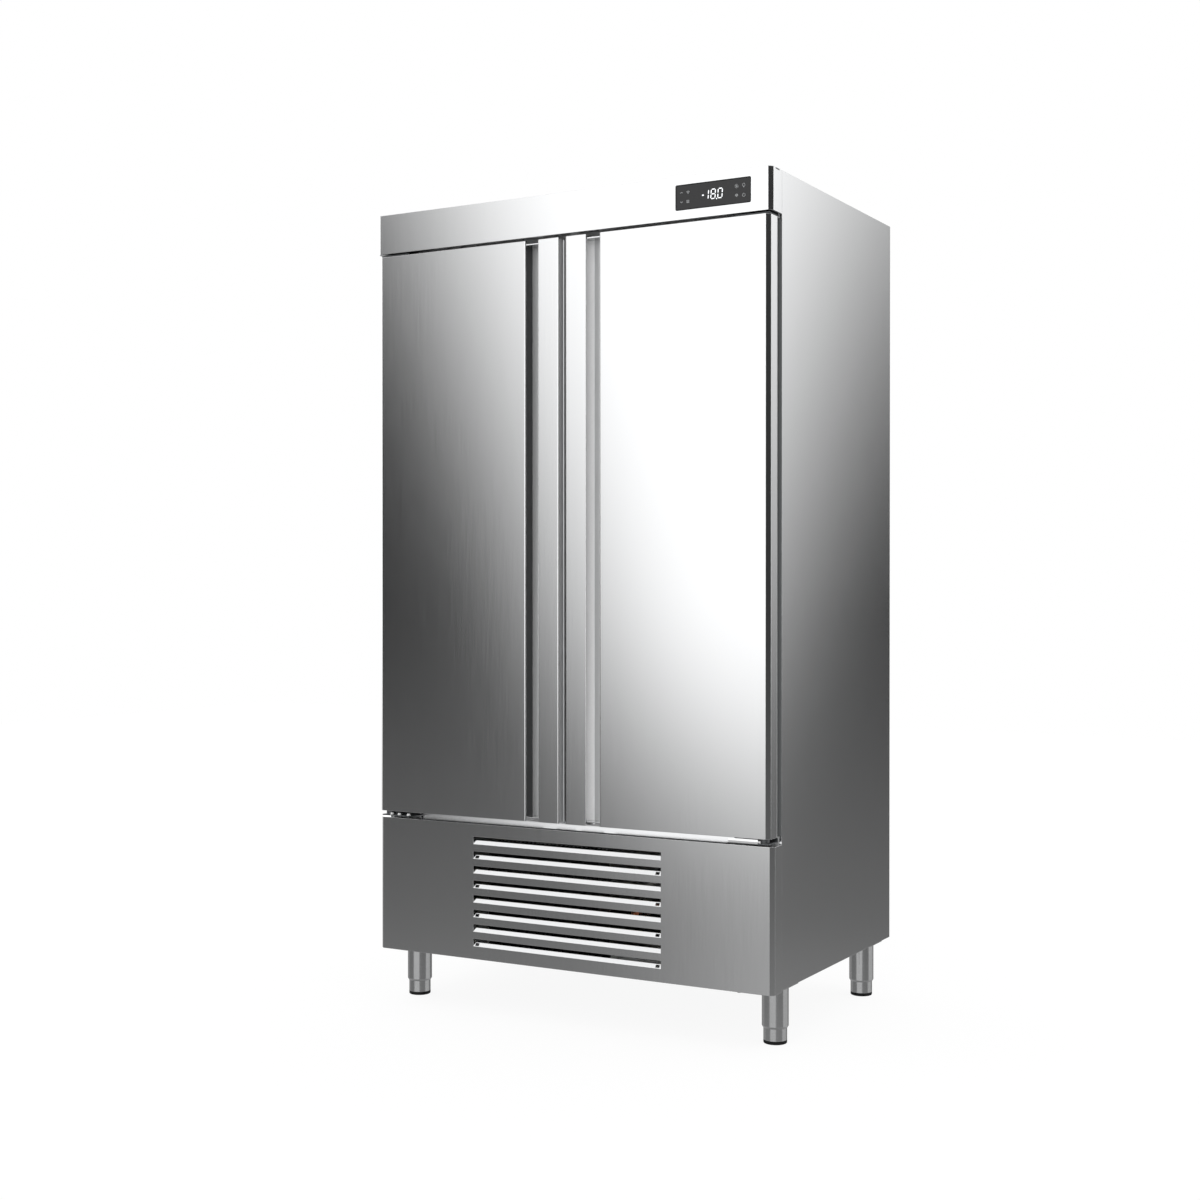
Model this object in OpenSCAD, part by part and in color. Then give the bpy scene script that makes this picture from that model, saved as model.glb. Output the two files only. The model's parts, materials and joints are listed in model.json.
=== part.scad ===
// Two-door upright freezer in sheet steel, with the condensing unit below the cold space.
// Millimetres. The front faces -Y, +X is to the right of someone facing the doors, and +Z is up.
// The origin is on the floor, under the middle of the overall width and depth.

/* [Cabinet] */
// Width over the side panels
cabinet_w = 1158; // [1050:1:1300]
// Depth of the body behind the front frame
body_d = 746; // [700:1:850]
// Height of the body above the legs
body_h = 1975; // [1850:1:2050]
// Thickness of the insulated side and back walls
wall_t = 65; // [58:1:72]
// Thickness of the insulated ceiling
ceiling_t = 76; // [60:1:90]
// Height of the deck's underside above the top of the lower panel
deck_lift = 8; // [4:1:16]
// How far the side and back panels end above the lower panel's bottom edge
side_lift = 4; // [2:0.5:8]
// Width of the side panels' front and rear folds
side_return = 6; // [4:0.5:7]
// Thickness of the outer sheet steel
sheet_t = 1.2; // [0.8:0.1:1.6]
// Thickness of the inner liner
liner_t = 1; // [0.8:0.1:1.6]
// Leg of the 45 degree bevels on the vertical front corners
bevel = 10; // [4:0.5:14]

/* [Header and control panel] */
// Height of the header
header_h = 104.5; // [95:0.5:130]
// Distance from the front plane back to the front frame
header_d = 60; // [58:1:70]
// Depth of the header's top and bottom flanges
header_flange_d = 52; // [40:1:54]
// Width of the control glass
glass_w = 202; // [160:1:240]
// Height of the control glass
glass_h = 62; // [50:1:70]
// Thickness of the control glass
glass_t = 4; // [3:0.5:6]
// How far the glass lies behind the header's face
glass_sink = 0.5; // [0:0.1:1]
// Corner radius of the control glass
glass_r = 4; // [2:0.5:8]
// Distance from the middle of the glass to the end of the header
glass_from_end = 155.5; // [130:0.5:300]
// Distance from the top of the header to the top of the glass
glass_drop = 20; // [10:1:22]
// Width of the controller behind the glass
board_w = 178; // [120:1:190]
// Height of the controller
board_h = 44; // [30:1:50]
// Depth of the controller
board_d = 26; // [16:1:40]
// Distance from the front plane to the notches in the header's upper side edges
notch_at = 22; // [12:1:26]
// Length of a notch
notch_l = 23; // [6:1:24]
// Height of a notch
notch_h = 4; // [3:0.5:8]

/* [Doors] */
// Thickness of a door without its seal
door_t = 46; // [44:0.5:48]
// Gap between the two doors
door_gap = 20; // [14:1:26]
// How far a door's outer side lies inside the side panel's face
door_inset = 6; // [4:0.5:8]
// Gap between the doors and the header
door_gap_top = 8; // [8:0.5:12]
// Gap between the doors and the lower panel
door_gap_bottom = 19; // [17:0.5:24]
// Outside radius of the folds at the meeting edges
fold_r = 3; // [2:0.5:4]
// How far a door's meeting edge flares towards the other door
flare = 1.5; // [1:0.5:3]
// Distance from a door's front to the start of the flare
flare_at = 24; // [18:1:30]
// Depth over which the edge flares
flare_l = 5; // [3:0.5:8]
// Distance from a door's edges to the rim of its inner panel
rim_in = 4; // [3:0.5:8]
// Height of that rim behind the door
rim_h = 6; // [4:0.5:7]
// How far the raised field of the inner panel stands out
field_h = 8; // [4:0.5:10]
// Distance between the seal and the raised field
field_gap = 14; // [8:1:30]

/* [Grip channels] */
// Width of the edge strip beside a channel
strip_w = 60; // [50:1:70]
// Width of a channel
channel_w = 39; // [30:1:48]
// Depth of a channel
channel_d = 35; // [34:1:39]
// Radius of the hollow behind the strip's lip
scoop_r = 20; // [18:0.5:24]
// How far that hollow reaches in behind the lip
scoop = 8; // [5:0.5:9]
// Thickness of a channel's end cap
cap_t = 3; // [2:0.5:5]
// Distance from a door's end to the end cap
cap_inset = 8; // [4:0.5:14]

/* [Seals and front frame] */
// Width of a door seal
seal_w = 22; // [16:1:24]
// Width of a seal's foot
seal_foot_w = 12; // [8:1:14]
// Thickness of a seal's foot
seal_foot_t = 3; // [2:0.5:4]
// Distance from a door's free edges to its seal
seal_edge = 12; // [8:1:16]
// Distance from the hinge pin's axis to the seal
seal_past_pin = 8; // [4:1:10]
// Distance from a door's top and bottom edges to the opening in the frame
land = 48; // [44:1:56]
// Thickness of the frame's rails
frame_t = 12; // [8:1:16]
// Depth of the frame's top rail
top_rail_d = 50; // [30:1:60]
// Width of the centre mullion
mullion_w = 96; // [92:1:110]
// Depth of the centre mullion
mullion_d = 50; // [30:1:60]

/* [Lower panel] */
// Height of the lower panel
lower_h = 355; // [340:1:400]
// How far the lower panel lies behind the doors
lower_back = 11; // [6:0.5:16]
// Depth of the lower panel's bottom fold
lower_fold_d = 20; // [12:1:30]
// Width of the louvred field
louvre_w = 554; // [400:1:640]
// Number of louvres
louvre_count = 8; // [5:1:8]
// Distance from one louvre to the next
louvre_pitch = 38.3; // [34:0.1:39]
// Height of a louvre's opening
louvre_h = 19.6; // [16:0.2:24]
// Distance from the panel's top edge to the first louvre
louvre_top = 33.5; // [28:0.5:40]
// How far a blade reaches in behind the panel
blade_d = 6.5; // [4:0.5:8]
// How far a blade climbs over that depth
blade_rise = 10.5; // [8:0.5:12]
// Length of the drain slots near the ends of every second blade
slot_l = 11; // [6:1:20]
// Width of a drain slot, measured along the slope's depth
slot_w = 4; // [2:0.5:6]
// Distance from a blade's end to its drain slot
slot_end = 5; // [4:1:20]

/* [Legs] */
// Height of the lower panel's bottom edge above the floor
leg_h = 142; // [136:1:150]
// Outside radius of a leg's sleeve
sleeve_r = 33; // [30:0.5:36]
// Wall of a sleeve
sleeve_wall = 3.5; // [3:0.5:4]
// Height of the taper at a sleeve's lower end
taper_h = 5; // [3:0.5:8]
// How much that taper takes off the radius
taper = 2.5; // [1:0.5:2.5]
// Height of a sleeve's lower end above the floor
sleeve_z = 39; // [34:1:42]
// Wall of the telescoping foot tube
foot_wall = 3; // [2:0.5:6]
// How far a foot tube reaches up into its sleeve
foot_reach = 70; // [62:1:80]
// Travel of a foot below its stored height
foot_travel = 40; // [20:1:50]
// Height of the rubber pad under a foot
pad_h = 9; // [6:0.5:12]
// Radius of the pad's rounded lower edge
pad_edge = 3; // [1:0.5:4]
// Distance from a side panel's face to the legs' axes
leg_in = 47; // [47:1:70]
// Distance from the front plane to the front legs' axes
leg_front = 129; // [120:1:150]
// Distance from the back to the rear legs' axes
leg_rear = 93; // [60:1:120]
// Side of a leg's square top plate
leg_plate = 86; // [74:1:90]
// Thickness of a leg's top plate
leg_plate_t = 4; // [3:0.5:6]

/* [Hinges] */
// Distance from a door's outer side to the hinge pin's axis
pin_in = 22; // [21:0.5:24]
// Distance from a door's front to the hinge pin's axis
pin_back = 23; // [22:0.5:24]
// Radius of a hinge pin
pin_r = 6; // [5:0.5:7]
// How far a pin reaches into the door
pin_l = 22; // [15:1:23]
// Outside radius of the bush in the door
bush_r = 10; // [9:0.5:11]
// Length of a bush
bush_l = 26; // [24.5:0.5:30]
// Running clearance of a pin in its bush
pin_play = 0.05; // [0.02:0.01:0.1]
// Radius of the collar that carries the door
collar_r = 12; // [10.5:0.5:14]
// Thickness of a bracket's tongue
tongue_t = 3; // [2.5:0.5:4.5]
// Width of a bracket's tongue
tongue_w = 88; // [70:1:110]
// Width of a bracket's fixing flange
flange_w = 132; // [110:1:150]
// Height of the upper brackets' fixing flange
flange_h = 36; // [28:1:50]
// Distance from the side panel's face to the brackets
bracket_in = 10; // [8:0.5:14]
// How far a tongue reaches past the pin's axis
tongue_past = 15; // [14.5:0.5:18]
// Height of the lower tongue above the lower panel
tongue_lift = 5; // [2:0.5:5.5]

/* [Shelves] */
// Height of the first shelf above the cold space's floor
shelf_first = 316; // [250:1:330]
// Distance from one shelf to the next
shelf_pitch = 330; // [280:1:345]
// Distance from the front plane to the shelves
shelf_front = 148; // [140:1:170]
// Depth of a shelf
shelf_d = 530; // [480:1:545]
// Thickness of a shelf's frame rod
rod_t = 8; // [6:0.5:10]
// Radius of a shelf's cross wires
wire_r = 2; // [1.5:0.5:3]
// Number of cross wires on a shelf
wire_count = 18; // [10:1:24]
// Width of an upright
post_w = 24; // [18:1:30]
// Depth of an upright's channel
post_t = 12; // [8:1:16]
// Pitch of the slots in the uprights
post_pitch = 66; // [50:1:110]
// Width of a slot in an upright
post_slot_w = 4; // [3:0.5:8]
// Height of a slot in an upright
post_slot_h = 14; // [8:1:20]
// Width of a shelf clip
clip_w = 20; // [12:1:22]
// How far a clip reaches under its shelf
clip_l = 14; // [12:1:18]
// Thickness of a clip
clip_t = 3; // [2:0.5:4]

/* [Evaporator] */
// Width of the evaporator cover
evap_w = 860; // [760:1:920]
// Depth of the evaporator cover
evap_d = 330; // [300:1:380]
// Height of the evaporator cover
evap_h = 150; // [146:1:170]
// Thickness of the evaporator cover
evap_t = 2; // [1.5:0.5:3]
// Radius of an evaporator fan
evap_fan_r = 60; // [50:1:62]
// Distance from the middle to an evaporator fan's axis
evap_fan_x = 215; // [150:1:300]
// Width of the evaporator's fins from side to side
evap_coil_w = 760; // [600:1:800]
// Depth of the evaporator coil
evap_coil_d = 150; // [120:1:180]
// Height of the evaporator coil
evap_coil_h = 104; // [80:1:110]
// Number of evaporator fins
evap_fins = 24; // [12:1:30]
// Outside radius of the drain tube
drain_r = 9; // [7:0.5:11]

/* [Condensing unit] */
// Width of the condenser
cond_w = 340; // [300:1:360]
// Depth of the condenser
cond_d = 56; // [40:1:66]
// Height of the condenser
cond_h = 300; // [290:1:310]
// Distance from the cabinet's middle to the condenser's middle
cond_x = 130; // [115:1:140]
// Distance from the front plane to the condenser
cond_front = 122; // [115:1:135]
// Number of condenser fins
cond_fins = 26; // [12:1:30]
// Thickness of a fin
fin_t = 0.8; // [0.5:0.1:1.2]
// Radius of the coils' tubes
coil_tube_r = 5; // [4:0.5:6]
// Radius of the condenser fan
cond_fan_r = 125; // [100:1:128]
// Radius of the compressor's shell
comp_r = 92; // [80:1:96]
// Height of the compressor's shell
comp_h = 196; // [170:1:210]
// Distance from the cabinet's middle to the compressor's axis
comp_x = 225; // [200:1:235]
// Distance from the front plane to the compressor's axis
comp_y = 560; // [500:1:600]
// Side of the compressor's base plate
comp_plate = 190; // [180:1:210]
// Height of the compressor's rubber mounts
mount_h = 16; // [10:1:24]
// Length of the condensate tray
pan_l = 250; // [200:1:300]
// Width of the condensate tray
pan_w = 230; // [180:1:260]
// Height of the condensate tray
pan_h = 60; // [40:1:80]
// Width of the unit's bottom tray
tray_w = 782; // [760:1:840]
// How far the unit's bottom tray hangs below the lower panel
tray_drop = 11; // [10:1:20]
// Depth of the unit's bottom tray
tray_d = 640; // [600:1:660]
// Distance from the front plane to the bottom tray
tray_front = 67; // [64:1:80]
// Width of the tray's rim
tray_rim = 16; // [10:1:24]
// Outside radius of the suction pipe
suction_r = 6; // [5:0.5:7]
// Outside radius of the discharge and liquid pipes
liquid_r = 4; // [3:0.5:5]

/* [Fasteners and fits] */
// Radius of a screw's head
screw_r = 4.5; // [3:0.5:5]
// Height of a screw's head
screw_h = 2.5; // [1.5:0.5:3.5]
// Clearance between pieces that sit beside each other
fit = 0.3; // [0.2:0.05:0.5]

/* [Hidden] */
$fn = 48;
front_y = -(header_d + body_d) / 2;
back_y = front_y + header_d + body_d;
half_w = cabinet_w / 2;
top_z = leg_h + body_h;
body_z = leg_h + side_lift;
header_z = top_z - header_h;
lower_top_z = leg_h + lower_h;
door_z = lower_top_z + door_gap_bottom;
door_top_z = header_z - door_gap_top;
door_h = door_top_z - door_z;
door_x0 = door_gap / 2;
door_x1 = half_w - door_inset;
lip_x = door_x0 + strip_w;
main_x = lip_x + channel_w;
pin_x = door_x1 - pin_in;
// Distance that a 45 degree corner moves when its sides move in by one
bevel_shift = sqrt(2) - 1;
// Room left when a cut runs out past a face
over = 1;

// Opening of the cold space, and the liner behind it
open_x = half_w - wall_t;
open_z0 = door_z + land;
open_z1 = door_top_z - land;
liner_front = header_d + frame_t;
liner_back = header_d + body_d - wall_t;
liner_top = top_z - ceiling_t;
deck_z = lower_top_z + deck_lift;
mullion_x = mullion_w / 2;

// Seal rectangle of the right door
seal_x0 = door_x0 + seal_edge;
seal_x1 = pin_x - seal_past_pin;
seal_z0 = door_z + seal_edge;
seal_z1 = door_top_z - seal_edge;

// Centre of the hollow behind the strip's lip
scoop_x = lip_x - scoop + scoop_r;
scoop_y = sqrt(scoop_r * scoop_r - (scoop_r - scoop) * (scoop_r - scoop));

// Glass in the header
glass_x = half_w - glass_from_end;
glass_z = top_z - glass_drop - glass_h / 2;

// Legs
leg_x = half_w - leg_in;
leg_y0 = front_y + leg_front;
leg_y1 = back_y - leg_rear;
foot_r = sleeve_r - sleeve_wall - fit;
plate_z = body_z - leg_plate_t;

// Shelves, uprights and clips
shelf_x0 = post_t + 2 * fit + fit;
shelf_x1 = open_x - post_t - 2 * fit;
post_y0 = front_y + shelf_front + 30;
post_y1 = front_y + shelf_front + shelf_d - 30 - post_w;
evap_z = liner_top - evap_h;
post_z0 = open_z0;
post_z1 = evap_z - 6;
post_centre_h = post_z1 - post_z0;
shelf_z = [for (i = [0:2]) open_z0 + shelf_first + i * shelf_pitch];

// Evaporator
evap_y1 = front_y + liner_back;
evap_y0 = evap_y1 - evap_d;
evap_fan_z = evap_z + evap_h / 2;
evap_collar_d = 30;
evap_hub_r = 21;
evap_rotor_w = 16;
evap_motor_r = 18;
evap_motor_l = 44;
drain_x = 0;
drain_y = front_y + liner_back + wall_t / 2;
drain_spout_z = evap_z + 24;
drain_lip_w = 60;
drain_lip_h = 40;
drain_lip_back = 28;
drain_start = drain_lip_back - evap_t - fit;
drain_run_z = leg_h + 120;
drain_end_h = 30;
pipe_in = 60;
pipe_apart = 40;
pipe_drop = 50;

// Condensing unit
tray_z = leg_h - tray_drop;
tray_floor = tray_z + sheet_t;
unit_cond_x = -cond_x;
cond_y = front_y + cond_front;
shroud_y = cond_y + cond_d;
shroud_t = 2;
cond_collar_d = 46;
cond_hub_r = 38;
cond_rotor_w = 28;
cond_motor_r = 30;
cond_motor_l = 62;
cond_z = tray_floor;
cond_fan_z = cond_z + cond_h / 2;
shaft_r = 4;
shaft_play = 0.05;
rotor_gap = 4;
bar_w = 14;
bar_t = 3;
comp_z = tray_floor + mount_h;
comp_plate_t = 3;
comp_axis_y = front_y + comp_y;
mount_r = 12;
stud_r = 4;
pan_x = -cond_x;
pan_y = front_y + tray_front + tray_d - pan_w / 2 - 24;
pan_z = tray_floor;
pipe_bend = 22;
drier_start = 90;
drier_l = 110;
frame_h = 24;

// Rear slots and power inlet
vent_rows = 5;
vent_pitch = 26;
vent_l = 190;
vent_h = 9;
vent_first = 200;
inlet_w = 48;
inlet_h = 28;
inlet_d = 30;
inlet_in = 150;
inlet_rise = 60;
inlet_x = half_w - inlet_in;
inlet_z = body_z + inlet_rise;

// Box between two opposite corners
module box(a, b) {
    translate(a) cube(b - a);
}

// Draws its children as they are for the right side, and mirrored for the left
module on_side(side) {
    if (side > 0) children();
    else mirror([1, 0, 0]) children();
}

// Round bar along Y, from y0 to y1
module bar_y(x, z, y0, y1, r) {
    translate([x, y0, z]) rotate([-90, 0, 0]) cylinder(r = r, h = y1 - y0);
}

// Round bar along X, from x0 to x1
module bar_x(y, z, x0, x1, r) {
    translate([x0, y, z]) rotate([0, 90, 0]) cylinder(r = r, h = x1 - x0);
}

// Rectangle with round corners, centred
module round_rect(w, h, r) {
    square([w - 2 * r, h], center = true);
    square([w, h - 2 * r], center = true);
    for (x = [-1, 1], y = [-1, 1]) translate([x * (w / 2 - r), y * (h / 2 - r)]) circle(r);
}

// Square corner outside a fold's quarter circle. The body lies towards side and towards +Y.
module fold_waste(x, y, r, side) {
    translate([x, y]) mirror([side > 0 ? 0 : 1, 0]) difference() {
        translate([-over, -over]) square(r + over);
        translate([r, r]) circle(r);
    }
}

// Tube or rod along a path of points whose runs are parallel to the axes
function unit(v) = v / norm(v);
module rod_path(p, r, bend) {
    last = len(p) - 1;
    for (i = [0:last - 1]) {
        d = unit(p[i + 1] - p[i]);
        a = p[i] + (i == 0 ? 0 : bend) * d;
        b = p[i + 1] - (i == last - 1 ? 0 : bend) * d;
        multmatrix(facing(d, a)) cylinder(r = r, h = norm(b - a));
    }
    for (i = [1:1:last - 1]) {
        d = unit(p[i] - p[i - 1]);
        e = unit(p[i + 1] - p[i]);
        n = cross(d, e);
        c = p[i] - bend * d + bend * e;
        multmatrix([[-e[0], d[0], n[0], c[0]],
                    [-e[1], d[1], n[1], c[1]],
                    [-e[2], d[2], n[2], c[2]],
                    [0, 0, 0, 1]])
            rotate_extrude(angle = 90) translate([bend, 0]) circle(r);
    }
}

// Placement that turns +Z to an axis direction d, at point a
function facing(d, a) =
    let (u = abs(d[2]) > 0.5 ? [1, 0, 0] : [0, 0, 1], v = cross(d, u))
    [[u[0], v[0], d[0], a[0]], [u[1], v[1], d[1], a[1]], [u[2], v[2], d[2], a[2]], [0, 0, 0, 1]];

// Plan of a full-width front piece with bevelled corners, moved in by e
module front_plan(depth, e) {
    x = half_w - e;
    c = bevel + e * bevel_shift;
    polygon([[-x + c - e, e], [x - c + e, e], [x, c], [x, depth], [-x, depth], [-x, c]]);
}

// Folded front piece, closed at the front and the sides
module front_pan(depth, h) {
    linear_extrude(h) difference() {
        front_plan(depth, 0);
        front_plan(depth + over, sheet_t);
    }
}

// Outer side panel with its front and rear folds
module side_panel(side) {
    color("silver") on_side(side) {
        y0 = front_y + header_d;
        box([half_w - sheet_t, y0, body_z], [half_w, back_y, top_z]);
        box([half_w - side_return, y0, body_z], [half_w, y0 + sheet_t, top_z]);
        box([half_w - side_return, back_y - sheet_t, body_z], [half_w, back_y, top_z]);
    }
}

module top_panel() {
    color("silver")
        box([-half_w + sheet_t + fit, front_y + header_d + sheet_t + fit, top_z - sheet_t],
            [half_w - sheet_t - fit, back_y - sheet_t - fit, top_z]);
}

// Back panel with the rows of air slots for the machine space
module back_panel() {
    x = half_w - side_return - fit;
    color("lightgray") difference() {
        box([-x, back_y - sheet_t, body_z], [x, back_y, top_z]);
        for (i = [0:vent_rows - 1], s = [-1, 0, 1])
            translate([s * (vent_l + 50), back_y - sheet_t / 2, body_z + vent_first + i * vent_pitch])
                cube([vent_l, sheet_t + 2 * over, vent_h], center = true);
        translate([inlet_x, back_y - sheet_t / 2, inlet_z])
            cube([inlet_w + 2 * fit, sheet_t + 2 * over, inlet_h + 2 * fit], center = true);
    }
}

// Channels for the drain tube and the pipes, cut through the back insulation and the liner
module service_cuts() {
    for (p = [[drain_r, drain_x, drain_spout_z], suction_route(), liquid_route()])
        rod_path([[p[1], front_y + liner_back - over, p[2]], [p[1], drain_y, p[2]], [p[1], drain_y, body_z]],
                 p[0] + fit, pipe_bend);
}

// Radius, X and upper height of the two pipes in the back wall
function suction_route() = [suction_r, evap_coil_w / 2 - pipe_in, evap_z + evap_h - pipe_drop];
function liquid_route() = [liquid_r, evap_coil_w / 2 - pipe_in - pipe_apart, evap_z + evap_h - pipe_drop];

// Foam of the two sides, the back, the ceiling and the deck
module insulation_slabs() {
    x0 = open_x + liner_t;
    x1 = half_w - sheet_t;
    y0 = front_y + liner_front;
    y1 = front_y + liner_back + liner_t;
    z1 = top_z - sheet_t - fit;
    color("khaki") difference() {
        union() {
            for (s = [-1, 1]) on_side(s) {
                box([x0, y0, deck_z], [x1, back_y - sheet_t, z1]);
            }
            box([-x0 + fit, y1, deck_z], [x0 - fit, back_y - sheet_t, z1]);
            box([-x0 + fit, front_y + header_d + top_rail_d, liner_top + liner_t], [x0 - fit, y1 - fit, z1]);
            box([-x0 + fit, y0, deck_z], [x0 - fit, y1 - fit, open_z0 - liner_t]);
        }
        service_cuts();
    }
}

// Folded liner of the cold space, open at the front
module inner_liner() {
    y0 = front_y + liner_front;
    y1 = front_y + liner_back;
    rail_y = front_y + header_d + top_rail_d;
    color("whitesmoke") difference() {
        box([-open_x - liner_t, y0, open_z0 - liner_t],
            [open_x + liner_t, y1 + liner_t, liner_top + liner_t]);
        box([-open_x, y0 - over, open_z0], [open_x, y1, liner_top]);
        box([-open_x - liner_t - over, y0 - over, open_z1], [open_x + liner_t + over, rail_y, top_z]);
        service_cuts();
    }
}

// Four rails round the opening of the cold space
module front_frame() {
    x1 = half_w - side_return - fit;
    y0 = front_y + header_d;
    y1 = y0 + frame_t;
    z1 = top_z - sheet_t - fit;
    color("gainsboro") {
        for (s = [-1, 1]) on_side(s) box([open_x, y0, open_z0], [x1, y1, open_z1]);
        box([-x1, y0, lower_top_z + fit], [x1, y1, open_z0 - fit]);
        box([-open_x - liner_t, y0, open_z1 + fit], [open_x + liner_t, y0 + top_rail_d - fit, z1]);
        for (s = [-1, 1]) on_side(s)
            box([open_x + liner_t + fit, y0, open_z1 + fit], [x1, y1 - fit, z1]);
    }
}

module center_mullion() {
    y0 = front_y + header_d;
    color("gainsboro") box([-mullion_x, y0, open_z0], [mullion_x, y0 + mullion_d, open_z1]);
}

// Header: front, sides, top and bottom flanges, with the cut-out for the glass
module header_fascia() {
    color("lightgray") difference() {
        union() {
            translate([0, front_y, header_z]) front_pan(header_d, header_h);
            for (z = [header_z, top_z - sheet_t])
                translate([0, front_y, z]) linear_extrude(sheet_t) front_plan(header_flange_d, 0);
        }
        translate([glass_x, front_y + sheet_t / 2, glass_z]) rotate([90, 0, 0])
            linear_extrude(sheet_t + 2 * over, center = true) round_rect(glass_w, glass_h, glass_r);
        for (s = [-1, 1]) on_side(s)
            box([half_w - sheet_t - over, front_y + notch_at, top_z - notch_h],
                [half_w + over, front_y + notch_at + notch_l, top_z + over]);
    }
}

// Dark glass of the touch controls, set in the header's face
module control_glass() {
    color("black") translate([glass_x, front_y + glass_sink + glass_t, glass_z]) rotate([90, 0, 0])
        linear_extrude(glass_t) round_rect(glass_w - 2 * fit, glass_h - 2 * fit, glass_r - fit);
}

// Controller behind the glass, with its connector block
module control_board() {
    y0 = front_y + glass_sink + glass_t;
    color("darkslategray") {
        box([glass_x - board_w / 2, y0, glass_z - board_h / 2],
            [glass_x + board_w / 2, y0 + board_d, glass_z + board_h / 2]);
        box([glass_x - board_w / 3, y0 + board_d, glass_z - board_h / 4],
            [glass_x + board_w / 3, y0 + board_d + 8, glass_z + board_h / 4]);
    }
}

function louvre_z(i) = lower_top_z - louvre_top - louvre_h - i * louvre_pitch;

// Sloping blade of one louvre, from the lower edge of its opening up and in
module louvre_blade(i) {
    y0 = front_y + lower_back;
    z0 = louvre_z(i);
    difference() {
        translate([-louvre_w / 2, 0, 0]) rotate([90, 0, 90]) linear_extrude(louvre_w)
            polygon([[y0, z0 - sheet_t], [y0 + sheet_t, z0 - sheet_t], [y0 + blade_d, z0 + blade_rise - sheet_t],
                     [y0 + blade_d, z0 + blade_rise], [y0, z0]]);
        if (i % 2 == 1) for (s = [-1, 1]) on_side(s)
            box([louvre_w / 2 - slot_end - slot_l, y0 + blade_d / 2 - slot_w / 2, z0 - 2 * over],
                [louvre_w / 2 - slot_end, y0 + blade_d / 2 + slot_w / 2, z0 + blade_rise + over]);
    }
}

// Lower front panel: folded pan with pressed louvres and folds at the top and the bottom
module lower_panel() {
    y0 = front_y + lower_back;
    d = header_d - lower_back;
    color("silver") {
        difference() {
            union() {
                translate([0, y0, leg_h]) front_pan(d, lower_h);
                translate([0, y0, lower_top_z - sheet_t]) linear_extrude(sheet_t) front_plan(d, 0);
                translate([0, y0, leg_h]) linear_extrude(sheet_t) front_plan(lower_fold_d, 0);
            }
            for (i = [0:louvre_count - 1])
                box([-louvre_w / 2, y0 - over, louvre_z(i)],
                    [louvre_w / 2, y0 + sheet_t + over, louvre_z(i) + louvre_h]);
        }
        for (i = [0:louvre_count - 1]) louvre_blade(i);
    }
}

// Pan head of a screw, standing on the face at point p and pointing along d
module screw_head(p, d) {
    multmatrix(facing(d, p)) cylinder(r = screw_r, h = screw_h);
}

// Screws of the hinge brackets, and those that hold the lower panel to the base frame
module cabinet_screws() {
    y_low = front_y + header_d - tongue_t;
    z_low = (lower_top_z + tongue_lift + tongue_t + door_z) / 2;
    z_up = header_z + flange_h / 2;
    color("dimgray") for (s = [-1, 1]) on_side(s) {
        for (k = [0.08, 0.3]) {
            x = half_w - bracket_in - flange_w + k * flange_w;
            screw_head([x, y_low, z_low], [0, -1, 0]);
        }
        for (k = [0.2, 0.5, 0.8])
            screw_head([half_w - bracket_in - k * flange_w, y_low, z_up], [0, -1, 0]);
        screw_head([half_w - 2 * leg_in, front_y + lower_back + lower_fold_d / 2, leg_h], [0, 0, -1]);
    }
}

// Base plate with its edge folds and the opening for the bottom tray
module base_frame() {
    x1 = half_w - sheet_t;
    y0 = front_y + header_d;
    y1 = back_y - sheet_t;
    ty0 = front_y + tray_front;
    color("gray") difference() {
        box([-x1, y0, body_z], [x1, y1, body_z + frame_h]);
        box([-x1 + sheet_t, y0 + sheet_t, body_z + 2 * sheet_t], [x1 - sheet_t, y1 - sheet_t, body_z + frame_h + over]);
        box([-tray_w / 2 - fit, ty0 - fit, body_z - over],
            [tray_w / 2 + fit, ty0 + tray_d + fit, body_z + frame_h + over]);
        for (s = [-1, 1]) on_side(s)
            box([half_w - side_return - fit, y0 - over, body_z - over],
                [half_w + over, y0 + sheet_t + fit, body_z + frame_h + over]);
        for (s = [-1, 1]) on_side(s)
            box([half_w - side_return - fit, y1 - sheet_t - fit, body_z - over],
                [half_w + over, y1 + over, body_z + frame_h + over]);
        translate([inlet_x, y1, inlet_z])
            cube([inlet_w + 2 * fit, 2 * inlet_d, inlet_h + 2 * fit], center = true);
    }
}

// Tray of the condensing unit, hung by its rim in the base plate's opening
module base_tray() {
    y0 = front_y + tray_front;
    rim_z = body_z + 2 * sheet_t;
    color("gray") {
        difference() {
            box([-tray_w / 2, y0, tray_z], [tray_w / 2, y0 + tray_d, rim_z + sheet_t]);
            box([-tray_w / 2 + sheet_t, y0 + sheet_t, tray_floor],
                [tray_w / 2 - sheet_t, y0 + tray_d - sheet_t, rim_z + sheet_t + over]);
        }
        difference() {
            box([-tray_w / 2 - tray_rim, y0, rim_z], [tray_w / 2 + tray_rim, y0 + tray_d + tray_rim, rim_z + sheet_t]);
            box([-tray_w / 2, y0 - over, rim_z - over], [tray_w / 2, y0 + tray_d, rim_z + sheet_t + over]);
        }
    }
}

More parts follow.
